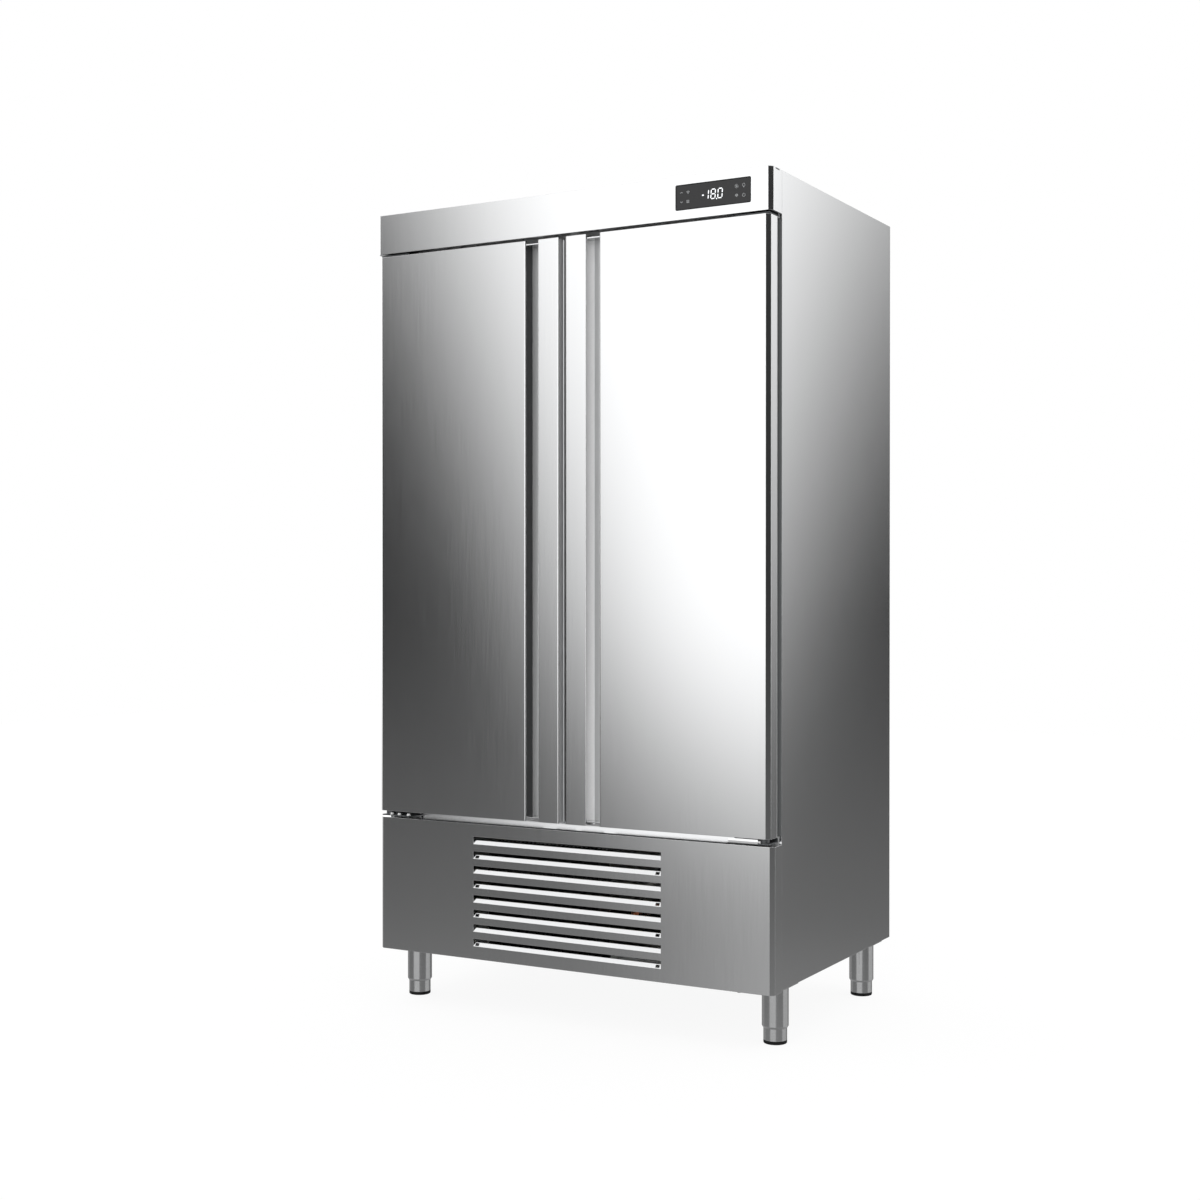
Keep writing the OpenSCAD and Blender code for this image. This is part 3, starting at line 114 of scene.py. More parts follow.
# Materials: the grain is finer along an axis with a larger number, and cells stands for crystals instead.
# A spread is how far the colour, as a share, or the roughness goes to either side. Lengths are in metres.
STEEL = (0.74, 0.745, 0.75)
BRUSHED = (900, 900, 9)
SLOT_LOOKS = {
    "stainless_brushed": dict(
        colour=STEEL, rough=0.115, metallic=1.0, grain=BRUSHED, spread=0.02, rough_spread=0.012,
        bump_strength=0.015, bump_depth=0.0001, edge=0.0012),
    "galvanised": dict(
        colour=(0.56, 0.58, 0.60), rough=0.40, metallic=0.9, cells=75.0, spread=0.05, rough_spread=0.04,
        bump_strength=0.0),
    "liner_steel": dict(
        colour=(0.76, 0.77, 0.78), rough=0.34, metallic=1.0, grain=(9, 9, 700), spread=0.03,
        rough_spread=0.04, bump_strength=0.05, bump_depth=0.0001),
    "foam": dict(
        colour=(0.80, 0.70, 0.45), rough=0.9, grain=(300, 300, 300), spread=0.15, bump_strength=0.5,
        bump_depth=0.001),
    "abs_white": dict(
        colour=(0.78, 0.79, 0.79), rough=0.36, grain=(260, 260, 260), spread=0.02, rough_spread=0.04,
        bump_strength=0.12, bump_depth=0.0003),
    "seal_rubber": dict(
        colour=(0.035, 0.035, 0.038), rough=0.55, grain=(400, 400, 400), spread=0.2, rough_spread=0.08,
        bump_strength=0.3, bump_depth=0.0003),
    "satin_steel": dict(
        colour=(0.62, 0.625, 0.63), rough=0.45, metallic=0.35, grain=(300, 300, 300), spread=0.02,
        rough_spread=0.03, bump_strength=0.05, bump_depth=0.0001),
    "glass_black": dict(
        colour=(0.012, 0.012, 0.013), rough=0.12, grain=(90, 90, 90), spread=0.08, rough_spread=0.02,
        bump_strength=0.01, bump_depth=0.0001, ior=1.42),
    "board_green": dict(
        colour=(0.03, 0.16, 0.08), rough=0.45, grain=(500, 500, 500), spread=0.3, rough_spread=0.1,
        bump_strength=0.3),
    "zinc": dict(
        colour=(0.40, 0.405, 0.40), rough=0.20, metallic=1.0, grain=(200, 200, 200), spread=0.08,
        rough_spread=0.04, bump_strength=0.04, bump_depth=0.0001, edge=0.0006),
    "steel_pressed": dict(
        colour=(0.10, 0.105, 0.11), rough=0.42, metallic=0.6, grain=(120, 120, 120), spread=0.1,
        rough_spread=0.08, bump_depth=0.0002),
    "compressor_black": dict(
        colour=(0.012, 0.012, 0.013), rough=0.22, grain=(70, 70, 70), spread=0.2, rough_spread=0.06,
        bump_strength=0.15, bump_depth=0.0005, coat=0.6),
    "rubber_black": dict(
        colour=(0.008, 0.008, 0.0085), rough=0.7, grain=(500, 500, 500), spread=0.25, rough_spread=0.08,
        bump_strength=0.2, bump_depth=0.0003, edge=0.0008, ior=1.3),
    "coil_aluminium": dict(
        colour=(0.72, 0.73, 0.74), rough=0.35, metallic=1.0, grain=(300, 30, 300), spread=0.08,
        rough_spread=0.08, bump_depth=0.0002),
    "coil_painted": dict(
        colour=(0.03, 0.03, 0.032), rough=0.5, grain=(300, 30, 300), spread=0.2, rough_spread=0.1,
        bump_strength=0.2, bump_depth=0.0003),
    "fan_plastic": dict(
        colour=(0.02, 0.02, 0.022), rough=0.42, grain=(350, 350, 350), spread=0.15, rough_spread=0.06,
        bump_strength=0.15, bump_depth=0.0003),
    "fan_plastic_pale": dict(
        colour=(0.55, 0.56, 0.57), rough=0.42, grain=(350, 350, 350), spread=0.05, rough_spread=0.06,
        bump_strength=0.12, bump_depth=0.0003),
    "copper": dict(
        colour=(0.80, 0.42, 0.26), rough=0.28, metallic=1.0, grain=(90, 90, 90), spread=0.15,
        rough_spread=0.08, bump_strength=0.08, bump_depth=0.0002),
    "tray_plastic": dict(
        colour=(0.05, 0.052, 0.055), rough=0.5, grain=(260, 260, 260), spread=0.15, rough_spread=0.06,
        bump_strength=0.2, bump_depth=0.0003),
    "tube_plastic": dict(
        colour=(0.45, 0.46, 0.47), rough=0.45, grain=(60, 60, 900), bump_strength=0.3, bump_depth=0.0005),
    "shelf_coated": dict(
        colour=(0.72, 0.73, 0.74), rough=0.32, grain=(200, 200, 200), spread=0.03, bump_strength=0.15,
        bump_depth=0.0003, coat=0.3),
    "bush_nylon": dict(
        colour=(0.75, 0.75, 0.72), rough=0.35, grain=(200, 200, 200), spread=0.03, bump_depth=0.0002),
    "leg_steel": dict(
        colour=(0.68, 0.685, 0.69), rough=0.17, metallic=1.0, grain=(40, 40, 600), spread=0.02,
        rough_spread=0.015, bump_strength=0.01, bump_depth=0.00005, edge=0.0008),
}
DETAIL_LOOKS = {
    "display_border": dict(
        colour=(0.004, 0.004, 0.0045), rough=0.5, grain=(400, 400, 400), spread=0.1, bump_strength=0.03,
        bump_depth=0.0001, ior=1.25),
    "display_print": dict(
        colour=(0.42, 0.43, 0.44), rough=0.4, grain=(400, 400, 400), spread=0.1, bump_strength=0.05,
        bump_depth=0.0001),
    # Near-black lining: painted shade on the grip channel's wall and on the deep band of the doors' meeting
    # edge
    "channel_dark": dict(
        colour=(0.022, 0.023, 0.0235), rough=0.5, grain=(300, 300, 300), spread=0.08, rough_spread=0.04,
        bump_strength=0.05, bump_depth=0.0001),
    # White lining round the grip channel's hollow: painted highlight
    "channel_pale": dict(
        colour=(0.95, 0.953, 0.955), rough=0.50, grain=(300, 300, 300), spread=0.02, rough_spread=0.03,
        bump_strength=0.03, bump_depth=0.0001),
    # Satin copy of the door steel for the grip channel's floor: the satin finish, and a colour darker and
    # duller than the steel as painted shade
    "channel_satin": dict(
        colour=(0.62, 0.625, 0.63), rough=0.34, metallic=0.55, grain=BRUSHED, spread=0.02, rough_spread=0.02,
        bump_strength=0.02, bump_depth=0.0001),
    # Dark grey for plates in the frame's side gaps and the header's notches: painted shade
    "gap_painted_shade": dict(
        colour=(0.115, 0.12, 0.122), rough=0.5, grain=(300, 300, 300), spread=0.05, rough_spread=0.04,
        bump_strength=0.05, bump_depth=0.0001),
    "polished": dict(
        colour=STEEL, rough=0.115, metallic=1.0, grain=BRUSHED, spread=0.02, rough_spread=0.012,
        bump_strength=0.015, bump_depth=0.0001),
    # Near-white for the bracket bolts: painted highlight
    "bolt_painted_highlight": dict(
        colour=(0.95, 0.95, 0.95), rough=0.30, grain=(200, 200, 200), spread=0.02, rough_spread=0.03,
        bump_strength=0.03, bump_depth=0.0001, edge=0.0004),
    # Grey lighter than the seal rubber for the seal ridges: painted highlight
    "seal_ridge_painted_highlight": dict(
        colour=(0.09, 0.09, 0.095), rough=0.45, grain=(400, 400, 400), spread=0.1, bump_depth=0.0002),
}

# Lit figures of the display
LIT_LOW = (0.75, 0.78, 0.80)
LIT_HIGH = (0.95, 0.96, 0.97)
LIT_GRAIN = (400, 400, 400)
LIT_ROUGHNESS = 0.3
LIT_GLOW = (0.95, 0.98, 1.0, 1.0)
LIT_STRENGTH = 0.62

# Display marks: front and back in Y, in metres
MARK_Y = (-0.4028, -0.4024)
MM_PER_M = 1000.0

# Display marks: X and Z on the face of the control glass, in millimetres
BORDER_INSET = 0.3
BORDER_W = 1.9
BORDER_OUTER_R = 3.7
BORDER_INNER_R = 2.6
CORNER_STEPS = 6
DIGIT_W = 11.2
DIGIT_H = 22.6
STROKE = 2.3
SEGMENT_GAP = 0.95
SLANT = 0.07
DIGIT_Z = 2066.0
DIGITS = (("1", 406.0), ("8", 424.4), ("0", 442.9))
SEGMENTS = {"8": "abcdefg", "0": "abcdef", "1": "bc"}
MINUS = (394.8, 2064.1, 399.4, 2067.0)
POINT = (432.2, 2052.2, 434.8, 2054.8)

# Symbols: the centre, strokes (from, to and width) and arcs (radius, width, start, end and steps) round it
SYMBOLS = {
    "up": ((339.0, 2076.6), ((-3.2, 0.0, 0.0, 2.6, 1.1), (0.0, 2.6, 3.2, 0.0, 1.1)), ()),
    "down": ((339.0, 2056.0), ((-3.2, 0.0, 0.0, -2.4, 1.1), (0.0, -2.4, 3.2, 0.0, 1.1)), ()),
    "waves": ((357.0, 2074.6), ((-1.0, 0.1, 1.0, 0.1, 1.8),),
              ((5.2, 1.1, 40, 140, 8), (2.8, 1.1, 40, 140, 6))),
    "list": ((356.5, 2055.0),
             ((-3.9, -2.6, 3.9, -2.6, 1.1), (-3.9, 0.0, 3.9, 0.0, 1.1), (-3.9, 2.6, 3.9, 2.6, 1.1)), ()),
    "flake": ((486.7, 2077.4),
              ((-3.2909, -1.9, 3.2909, 1.9, 0.7), (0.0, -3.8, 0.0, 3.8, 0.7),
               (3.2909, -1.9, -3.2909, 1.9, 0.7)),
              ((4.6, 0.5, 0, 360, 20),)),
    "bell": ((486.7, 2055.4), ((-3.8, -0.4, 3.8, -0.4, 1.2), (-1.5, -2.8, 1.5, -2.8, 1.2)),
             ((2.9, 1.2, 0, 180, 10),)),
    "lamp": ((505.5, 2078.6), ((-1.3, -4.4, 1.3, -4.4, 0.8), (-0.9, -5.8, 0.9, -5.8, 0.8)),
             ((3.5, 0.8, 0, 360, 20),)),
    "power": ((505.5, 2054.4), ((0.0, 1.2, 0.0, 5.0, 0.9),), ((3.8, 0.8, 120, 420, 20),)),
}

# Grip channel and meeting edge of the right door: X of the plan, and depth behind the door's front.
# The hollow is round and ends at an angle, in degrees from the back.
FRONT_Y = -0.403
FACE_D = 0.0034
MAIN_X = 0.109
CHANNEL_D = 0.035
SCOOP_X = 0.082
SCOOP_D = 0.016
SCOOP_R = 0.020
SCOOP_END = 128.0
SCOOP_STEPS = 24
LINING_T = 0.00015
LINING_Z = (0.5272, 1.9933)
MEETING_EDGE = ((0.0099, FACE_D), (0.0099, 0.0243))
MEETING_LIP = ((0.0099, 0.0243), (0.0085, 0.0251), (0.0084, 0.0290))
MEETING_BAND = ((0.0084, 0.0290), (0.0084, 0.0445))
EDGE_Z = (0.518, 2.0025)

# Trims below the doors: ends in X, and the outline in Y and Z
SILL_X = (-0.4620, 0.4600)
SILL_PROFILE = ((-0.4020, 0.50205), (-0.4020, 0.50225), (-0.3560, 0.50225), (-0.3560, 0.5155),
                (-0.3430, 0.5155), (-0.3430, 0.50205))
COVER_X = (0.4620, 0.5400)
COVER_PROFILE = ((-0.3962, 0.5028), (-0.3962, 0.5078), (-0.3957, 0.5132), (-0.3952, 0.5132),
                 (-0.3952, 0.5028))

# Dark strip in the side gap of the frame and dark plate in the header's notch, both painted shade, of the
# right side, and the cuts of their corners
STRIP_X = (0.5600, 0.5789)
STRIP_Y = (-0.3432, -0.3430)
STRIP_Z = (0.5170, 2.0030)
NOTCH_SHADE_X = (0.5779, 0.5788)
NOTCH_SHADE_Y = (-0.3808, -0.3582)
NOTCH_SHADE_Z = (2.1131, 2.1168)
NOTCH_SHADE_CUT = 0.0002
PLATE_CUT = 0.0004

# Bolts of the lower hinge brackets: how far in from the ends and the front, and sizes
BOLT_INSETS = (0.028, 0.052, 0.082)
BOLT_BACK = 0.006
TONGUE_T = 0.003
BOLT_ACROSS = 0.008
BOLT_H = 0.005
HEAD_R_SHARE = 0.56
HEAD_SIDES = 6
WASHER_R_SHARE = 0.72
WASHER_H_SHARE = 0.25
WASHER_SIDES = 24

# Wire guards of the evaporator fans
GUARD_X = (-0.215, 0.215)
GUARD_RADII = (0.015, 0.026, 0.037, 0.048, 0.059, 0.066)
GUARD_SPOKES = 4
SPOKE_TURN = 45
SPOKE_FROM_R = 0.013
SPOKE_TO_R = 0.068
SPOKE_STEP = 1.2
WIRE_R = 0.0009
WIRE_GAP = 0.0001
WIRE_SIDES = 8
WIRE_STEPS = 48

# Contacts of the power inlet: places round its middle, half sizes, and depths behind its face
PIN_PLACES = ((-0.007, -0.002), (0.0, 0.003), (0.007, -0.002))
PIN_HALF_X = 0.001
PIN_HALF_Z = 0.0022
PIN_DEEP = 0.0215
PIN_SHALLOW = 0.006

# Ridges of the door seals
RIDGE_INSETS = (0.0045, 0.0155)
RIDGE_W = 0.0016
RIDGE_PROUD = 0.00012
RIDGE_SUNK = 0.0001


def clear_lights_and_cameras():
    """Removes the lights and cameras that the file starts with."""
    for obj in list(bpy.data.objects):
        if obj.type in {"LIGHT", "CAMERA"}:
            bpy.data.objects.remove(obj)


def add_camera():
    """Camera at the photograph's place and lens."""
    data = bpy.data.cameras.new("camera")
    data.lens = LENS_MM
    data.sensor_width = SENSOR_MM
    data.clip_start = CLIP_NEAR
    data.clip_end = CLIP_FAR
    cam = bpy.data.objects.new("camera", data)
    cam.location = CAMERA_AT
    cam.rotation_euler = (math.radians(CAMERA_TILT), 0.0, math.radians(CAMERA_TURN))
    bpy.context.collection.objects.link(cam)
    bpy.context.scene.camera = cam


class Nodes:
    """Short names for building a node tree."""

    def __init__(self, tree):
        """Starts with an empty tree."""
        self.tree = tree
        tree.nodes.clear()

    def add(self, kind, **values):
        """New node with some of its settings."""
        node = self.tree.nodes.new(kind)
        for key, value in values.items():
            setattr(node, key, value)
        return node

    def link(self, a, b):
        """Joins an output to an input."""
        self.tree.links.new(a, b)

    def math(self, operation, a, b=None):
        """Result of an operation on one or two values, each a number or an output."""
        node = self.add("ShaderNodeMath", operation=operation)
        for i, value in enumerate((a, b)):
            if value is None:
                continue
            if isinstance(value, (int, float)):
                node.inputs[i].default_value = value
            else:
                self.link(value, node.inputs[i])
        return node.outputs[0]

    def range(self, value, lo, hi, to_lo, to_hi, smooth=False):
        """Value taken from one range to another, and held at both ends."""
        node = self.add("ShaderNodeMapRange")
        node.interpolation_type = "SMOOTHSTEP" if smooth else "LINEAR"
        node.inputs["From Min"].default_value = lo
        node.inputs["From Max"].default_value = hi
        node.inputs["To Min"].default_value = to_lo
        node.inputs["To Max"].default_value = to_hi
        self.link(value, node.inputs["Value"])
        return node.outputs["Result"]


def grey_level(openness):
    """Opaque grey that stands for an openness in the studio's ramp."""
    level = (openness - OPEN_LEAST) / (OPEN_MOST - OPEN_LEAST)
    return (level, level, level, 1.0)


def studio_level(n):
    """Radiance of the studio: soft bright sides, a dark line at the floor and a bright roof."""
    axes = n.add("ShaderNodeSeparateXYZ")
    n.link(n.add("ShaderNodeTexCoord").outputs["Generated"], axes.inputs[0])
    forward = n.math("MULTIPLY", axes.outputs["Y"], -1.0)
    turn = n.math("ARCTAN2", axes.outputs["X"], forward)
    bearing = n.math("MULTIPLY", turn, DEGREES)
    up = n.math("MULTIPLY", n.math("ARCSINE", axes.outputs["Z"]), DEGREES)
    openness = n.add("ShaderNodeValToRGB")
    ramp = openness.color_ramp
    for degrees, level in OPEN_BY_TURN[1:-1]:
        stop = ramp.elements.new((degrees + 180.0) / 360.0)
        stop.color = grey_level(level)
    for end in (0, -1):
        ramp.elements[end].color = grey_level(OPEN_BY_TURN[end][1])
    n.link(n.range(turn, -math.pi, math.pi, 0.0, 1.0), openness.inputs["Fac"])
    side = n.math("MULTIPLY", n.range(bearing, *SIDE_FROM, 0.0, 1.0, smooth=True),
                  n.range(bearing, *SIDE_UNTIL, 1.0, 0.0, smooth=True))
    lift = n.math("MULTIPLY", up, n.range(side, 0.0, 1.0, OPEN_PER_DEGREE_UP, SIDE_PER_DEGREE_UP))
    amount = n.math("ADD", n.range(openness.outputs["Color"], 0.0, 1.0, OPEN_LEAST, OPEN_MOST), lift)
    light = n.range(amount, *LIGHT_RISE, 0.0, RADIANCE_OPEN - RADIANCE_SHUT, smooth=True)
    low = n.range(up, *LOW_FADE, LOW_SHARE, 1.0, smooth=True)
    glow = n.range(up, *FLOOR_GLOW_FADE, FLOOR_GLOW, 0.0)
    near = n.range(up, *NEAR_GLOW_FADE, NEAR_GLOW, 0.0)
    deep = n.range(up, *DEEP_FADE, DEEP_SHARE, 1.0)
    ground = n.math("MULTIPLY", n.math("ADD", glow, near), deep)
    wall = n.math("ADD", n.math("MULTIPLY", light, low), n.math("ADD", ground, RADIANCE_SHUT))
    roof = n.range(up, *ROOF_FADE, 0.0, 1.0, smooth=True)
    return n.math("ADD", n.math("MULTIPLY", wall, n.math("SUBTRACT", 1.0, roof)),
                  n.math("MULTIPLY", roof, ROOF_RADIANCE))


def build_world():
    """White behind the object, and the studio for everything else."""
    world = bpy.data.worlds.new("studio")
    bpy.context.scene.world = world
    world.use_nodes = True
    n = Nodes(world.node_tree)
    studio = n.add("ShaderNodeBackground")
    n.link(studio_level(n), studio.inputs["Strength"])
    studio.inputs["Color"].default_value = WHITE
    white = n.add("ShaderNodeBackground")
    white.inputs["Strength"].default_value = 1.0
    white.inputs["Color"].default_value = WHITE
    ray = n.add("ShaderNodeLightPath")
    mix = n.add("ShaderNodeMixShader")
    n.link(ray.outputs["Is Camera Ray"], mix.inputs[0])
    n.link(studio.outputs[0], mix.inputs[1])
    n.link(white.outputs[0], mix.inputs[2])
    out = n.add("ShaderNodeOutputWorld")
    n.link(mix.outputs[0], out.inputs[0])


def build_floor():
    """Pale floor that runs into the white behind, with a faint shadow."""
    mesh = bpy.data.meshes.new("floor")
    h = FLOOR_HALF
    mesh.from_pydata([(-h, -h, 0), (h, -h, 0), (h, h, 0), (-h, h, 0)], [], [(0, 1, 2, 3)])
    floor = bpy.data.objects.new("floor", mesh)
    bpy.context.collection.objects.link(floor)
    mat = bpy.data.materials.new("floor")
    mat.use_nodes = True
    n = Nodes(mat.node_tree)
    ray = n.add("ShaderNodeLightPath")
    matt = n.add("ShaderNodeBsdfDiffuse")
    matt.inputs["Color"].default_value = FLOOR_COLOUR
    pale = n.add("ShaderNodeBsdfDiffuse")
    pale.inputs["Color"].default_value = FLOOR_SEEN_COLOUR
    glow = n.add("ShaderNodeEmission")
    glow.inputs["Strength"].default_value = 1.0
    seen = n.add("ShaderNodeMixShader")
    seen.inputs[0].default_value = FLOOR_SHADOW
    n.link(glow.outputs[0], seen.inputs[1])
    n.link(pale.outputs[0], seen.inputs[2])
    mix = n.add("ShaderNodeMixShader")
    n.link(ray.outputs["Is Camera Ray"], mix.inputs[0])
    n.link(matt.outputs[0], mix.inputs[1])
    n.link(seen.outputs[0], mix.inputs[2])
    out = n.add("ShaderNodeOutputMaterial")
    n.link(mix.outputs[0], out.inputs[0])
    mesh.materials.append(mat)
    floor.visible_glossy = False


def coords(n, scale):
    """Object coordinates, stretched by scale."""
    tex = n.add("ShaderNodeTexCoord")
    mapping = n.add("ShaderNodeMapping")
    mapping.inputs["Scale"].default_value = scale
    n.link(tex.outputs["Object"], mapping.inputs["Vector"])
    return mapping.outputs["Vector"]


def noise(n, scale):
    """Noise over object coordinates that are stretched by scale."""
    tex = n.add("ShaderNodeTexNoise")
    tex.inputs["Scale"].default_value = 1.0
    tex.inputs["Detail"].default_value = GRAIN_DETAIL
    n.link(coords(n, scale), tex.inputs["Vector"])
    return tex.outputs["Fac"]


def crystals(n, size):
    """A random level for each cell of a pattern, like zinc crystals."""
    tex = n.add("ShaderNodeTexVoronoi")
    tex.inputs["Scale"].default_value = size
    n.link(coords(n, (1, 1, 1)), tex.inputs["Vector"])
    level = n.add("ShaderNodeSeparateColor")
    n.link(tex.outputs["Color"], level.inputs[0])
    return level.outputs[0]


def tint(n, fac, low, high):
    """Colour between low and high by fac."""
    ramp = n.add("ShaderNodeValToRGB")
    ramp.color_ramp.elements[0].position = GRAIN_LOW
    ramp.color_ramp.elements[1].position = GRAIN_HIGH
    ramp.color_ramp.elements[0].color = (*low, 1.0)
    ramp.color_ramp.elements[1].color = (*high, 1.0)
    n.link(fac, ramp.inputs["Fac"])
    return ramp.outputs["Color"]


def bump(n, height, strength, distance, normal=None):
    """Bump from a height."""
    node = n.add("ShaderNodeBump")
    node.inputs["Strength"].default_value = strength
    node.inputs["Distance"].default_value = distance
    n.link(height, node.inputs["Height"])
    if normal is not None:
        n.link(normal, node.inputs["Normal"])
    return node.outputs["Normal"]


def shade(colour, spread):
    """Two neighbouring colours round a middle one."""
    low = tuple(c * (1.0 - spread) for c in colour)
    high = tuple(min(1.0, c * (1.0 + spread)) for c in colour)
    return low, high


def surface(name, colour, rough, metallic=0.0, grain=None, cells=None, spread=0.06, rough_spread=0.05,
            bump_strength=0.1, bump_depth=0.0004, edge=None, ior=1.5, coat=0.0):
    """Material with a procedural grain, or crystal cells, in its colour, roughness and relief."""
    mat = bpy.data.materials.new(name)
    mat.use_nodes = True
    n = Nodes(mat.node_tree)
    bsdf = n.add("ShaderNodeBsdfPrincipled")
    bsdf.inputs["Metallic"].default_value = metallic
    bsdf.inputs["IOR"].default_value = ior
    bsdf.inputs["Coat Weight"].default_value = coat
    bsdf.inputs["Coat Roughness"].default_value = COAT_ROUGHNESS
    fac = noise(n, grain) if cells is None else crystals(n, cells)
    low, high = shade(colour, spread)
    n.link(tint(n, fac, low, high), bsdf.inputs["Base Color"])
    roughness = n.range(fac, GRAIN_LOW, GRAIN_HIGH, rough - rough_spread, rough + rough_spread)
    n.link(roughness, bsdf.inputs["Roughness"])
    normal = None
    if edge is not None:
        rounded = n.add("ShaderNodeBevel", samples=EDGE_SAMPLES)
        rounded.inputs["Radius"].default_value = edge
        normal = rounded.outputs["Normal"]
    n.link(bump(n, fac, bump_strength, bump_depth, normal), bsdf.inputs["Normal"])
    out = n.add("ShaderNodeOutputMaterial")
    n.link(bsdf.outputs[0], out.inputs[0])
    return mat


def lit_material():
    """Lit mark behind dark glass."""
    mat = bpy.data.materials.new("display_light")
    mat.use_nodes = True
    n = Nodes(mat.node_tree)
    bsdf = n.add("ShaderNodeBsdfPrincipled")
    bsdf.inputs["Roughness"].default_value = LIT_ROUGHNESS
    n.link(tint(n, noise(n, LIT_GRAIN), LIT_LOW, LIT_HIGH), bsdf.inputs["Base Color"])
    bsdf.inputs["Emission Color"].default_value = LIT_GLOW
    bsdf.inputs["Emission Strength"].default_value = LIT_STRENGTH
    out = n.add("ShaderNodeOutputMaterial")
    n.link(bsdf.outputs[0], out.inputs[0])
    return mat


MATERIALS = {name: surface(name, **look) for name, look in {**SLOT_LOOKS, **DETAIL_LOOKS}.items()}
MATERIALS["display_light"] = lit_material()


def dress_nodes():
    """Gives each CAD node the material of its slot."""
    for part in frame["record"]["subparts"]:
        obj = frame["nodes"][part["node"]]
        obj.data.materials.clear()
        obj.data.materials.append(MATERIALS[part["material_slot"]])


def add_piece(name, bm, material, body):
    """Makes an object from a bmesh and sets it on a body."""
    mesh = bpy.data.meshes.new(name)
    bmesh.ops.recalc_face_normals(bm, faces=bm.faces)
    bm.normal_update()
    bm.to_mesh(mesh)
    bm.free()
    obj = bpy.data.objects.new(name, mesh)
    bpy.context.collection.objects.link(obj)
    mesh.materials.append(MATERIALS[material])
    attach(obj, body)


def plate(bm, outline, y_front, y_back):
    """Flat plate whose outline lies in X and Z, between two depths."""
    front = [bm.verts.new((x, y_front, z)) for x, z in outline]
    back = [bm.verts.new((x, y_back, z)) for x, z in outline]
    bm.faces.new(front)
    bm.faces.new(list(reversed(back)))
    count = len(outline)
    for i in range(count):
        j = (i + 1) % count
        bm.faces.new((front[j], front[i], back[i], back[j]))


def cut_plate(bm, x_ends, y_ends, z_ends, cut):
    """Flat bar with its four corners cut, as seen from the front."""
    x0, x1 = x_ends
    z0, z1 = z_ends
    outline = [(x0 + cut, z0), (x1 - cut, z0), (x1, z0 + cut), (x1, z1 - cut),
               (x1 - cut, z1), (x0 + cut, z1), (x0, z1 - cut), (x0, z0 + cut)]
    plate(bm, outline, *y_ends)


def segment_bar(a, b, width):
    """Outline of a bar with pointed ends from a to b."""
    along = (b - a).normalized()
    across = Vector((-along.y, along.x)) * width / 2
    tip = along * width / 2
    return [a, a + tip - across, b - tip - across, b, b - tip + across, a + tip + across]


def segment_outlines(digit, x):
    """Outlines of a digit's lit segments, centred on x."""
    w = DIGIT_W / 2
    h = DIGIT_H / 2
    corner = {"tl": (-w, h), "tr": (w, h), "ml": (-w, 0), "mr": (w, 0), "bl": (-w, -h), "br": (w, -h)}
    ends = {"a": ("tl", "tr"), "b": ("tr", "mr"), "c": ("mr", "br"), "d": ("bl", "br"), "e": ("ml", "bl"),
            "f": ("tl", "ml"), "g": ("ml", "mr")}
    outlines = []
    for name in SEGMENTS[digit]:
        a, b = (Vector(corner[k]) for k in ends[name])
        gap = (b - a).normalized() * SEGMENT_GAP
        outline = segment_bar(a + gap, b - gap, STROKE)
        outlines.append([(x + p.x + SLANT * p.y, DIGIT_Z + p.y) for p in outline])
    return outlines


def rectangle(x0, z0, x1, z1):
    """Outline of an upright rectangle."""
    return [(x0, z0), (x1, z0), (x1, z1), (x0, z1)]


def stroke(x0, z0, x1, z1, width):
    """Outline of a square-ended stroke."""
    a = Vector((x0, z0))
    b = Vector((x1, z1))
    along = (b - a).normalized()
    across = Vector((-along.y, along.x)) * width / 2
    return [tuple(a - across), tuple(b - across), tuple(b + across), tuple(a + across)]


def arc(x, z, radius, width, start, end, steps):
    """Outlines of short plates that follow a circle between two angles in degrees."""
    outlines = []
    inner = radius - width / 2
    outer = radius + width / 2
    span = math.radians(end - start)
    for i in range(steps):
        a = math.radians(start) + span * i / steps
        b = math.radians(start) + span * (i + 1) / steps
        outlines.append([(x + inner * math.cos(a), z + inner * math.sin(a)),
                         (x + outer * math.cos(a), z + outer * math.sin(a)),
                         (x + outer * math.cos(b), z + outer * math.sin(b)),
                         (x + inner * math.cos(b), z + inner * math.sin(b))])
    return outlines


def symbol_outlines(centre, strokes, arcs):
    """Outlines of a symbol's strokes and arcs round its centre."""
    x, z = centre
    outlines = [stroke(x + x0, z + z0, x + x1, z + z1, width) for x0, z0, x1, z1, width in strokes]
    for values in arcs:
        outlines += arc(x, z, *values)
    return outlines


def signed_area(points):
    """Twice the area of an outline, below zero where it runs clockwise."""
    return sum(ax * bz - bx * az for (ax, az), (bx, bz) in zip(points[-1:] + points, points))


def add_marks(name, outlines, material):
    """Thin plates on the control glass, from outlines in millimetres."""
    bm = bmesh.new()
    for outline in outlines:
        points = [(x / MM_PER_M, z / MM_PER_M) for x, z in outline]
        if signed_area(points) < 0:
            points.reverse()
        plate(bm, points, *MARK_Y)
    add_piece(name, bm, material, "cabinet")


def round_corner(cx, cz, radius, start):
    """Points of a quarter circle, from the start angle in degrees."""
    angles = [math.radians(start + 90.0 * i / CORNER_STEPS) for i in range(CORNER_STEPS + 1)]
    return [(cx + radius * math.cos(a), cz + radius * math.sin(a)) for a in angles]


def round_outline(x0, z0, x1, z1, inset, radius):
    """Rectangle with round corners, moved in by inset."""
    left = x0 + inset + radius
    right = x1 - inset - radius
    low = z0 + inset + radius
    high = z1 - inset - radius
    points = round_corner(right, high, radius, 0)
    points += round_corner(left, high, radius, 90)
    points += round_corner(left, low, radius, 180)
    points += round_corner(right, low, radius, 270)
    return points


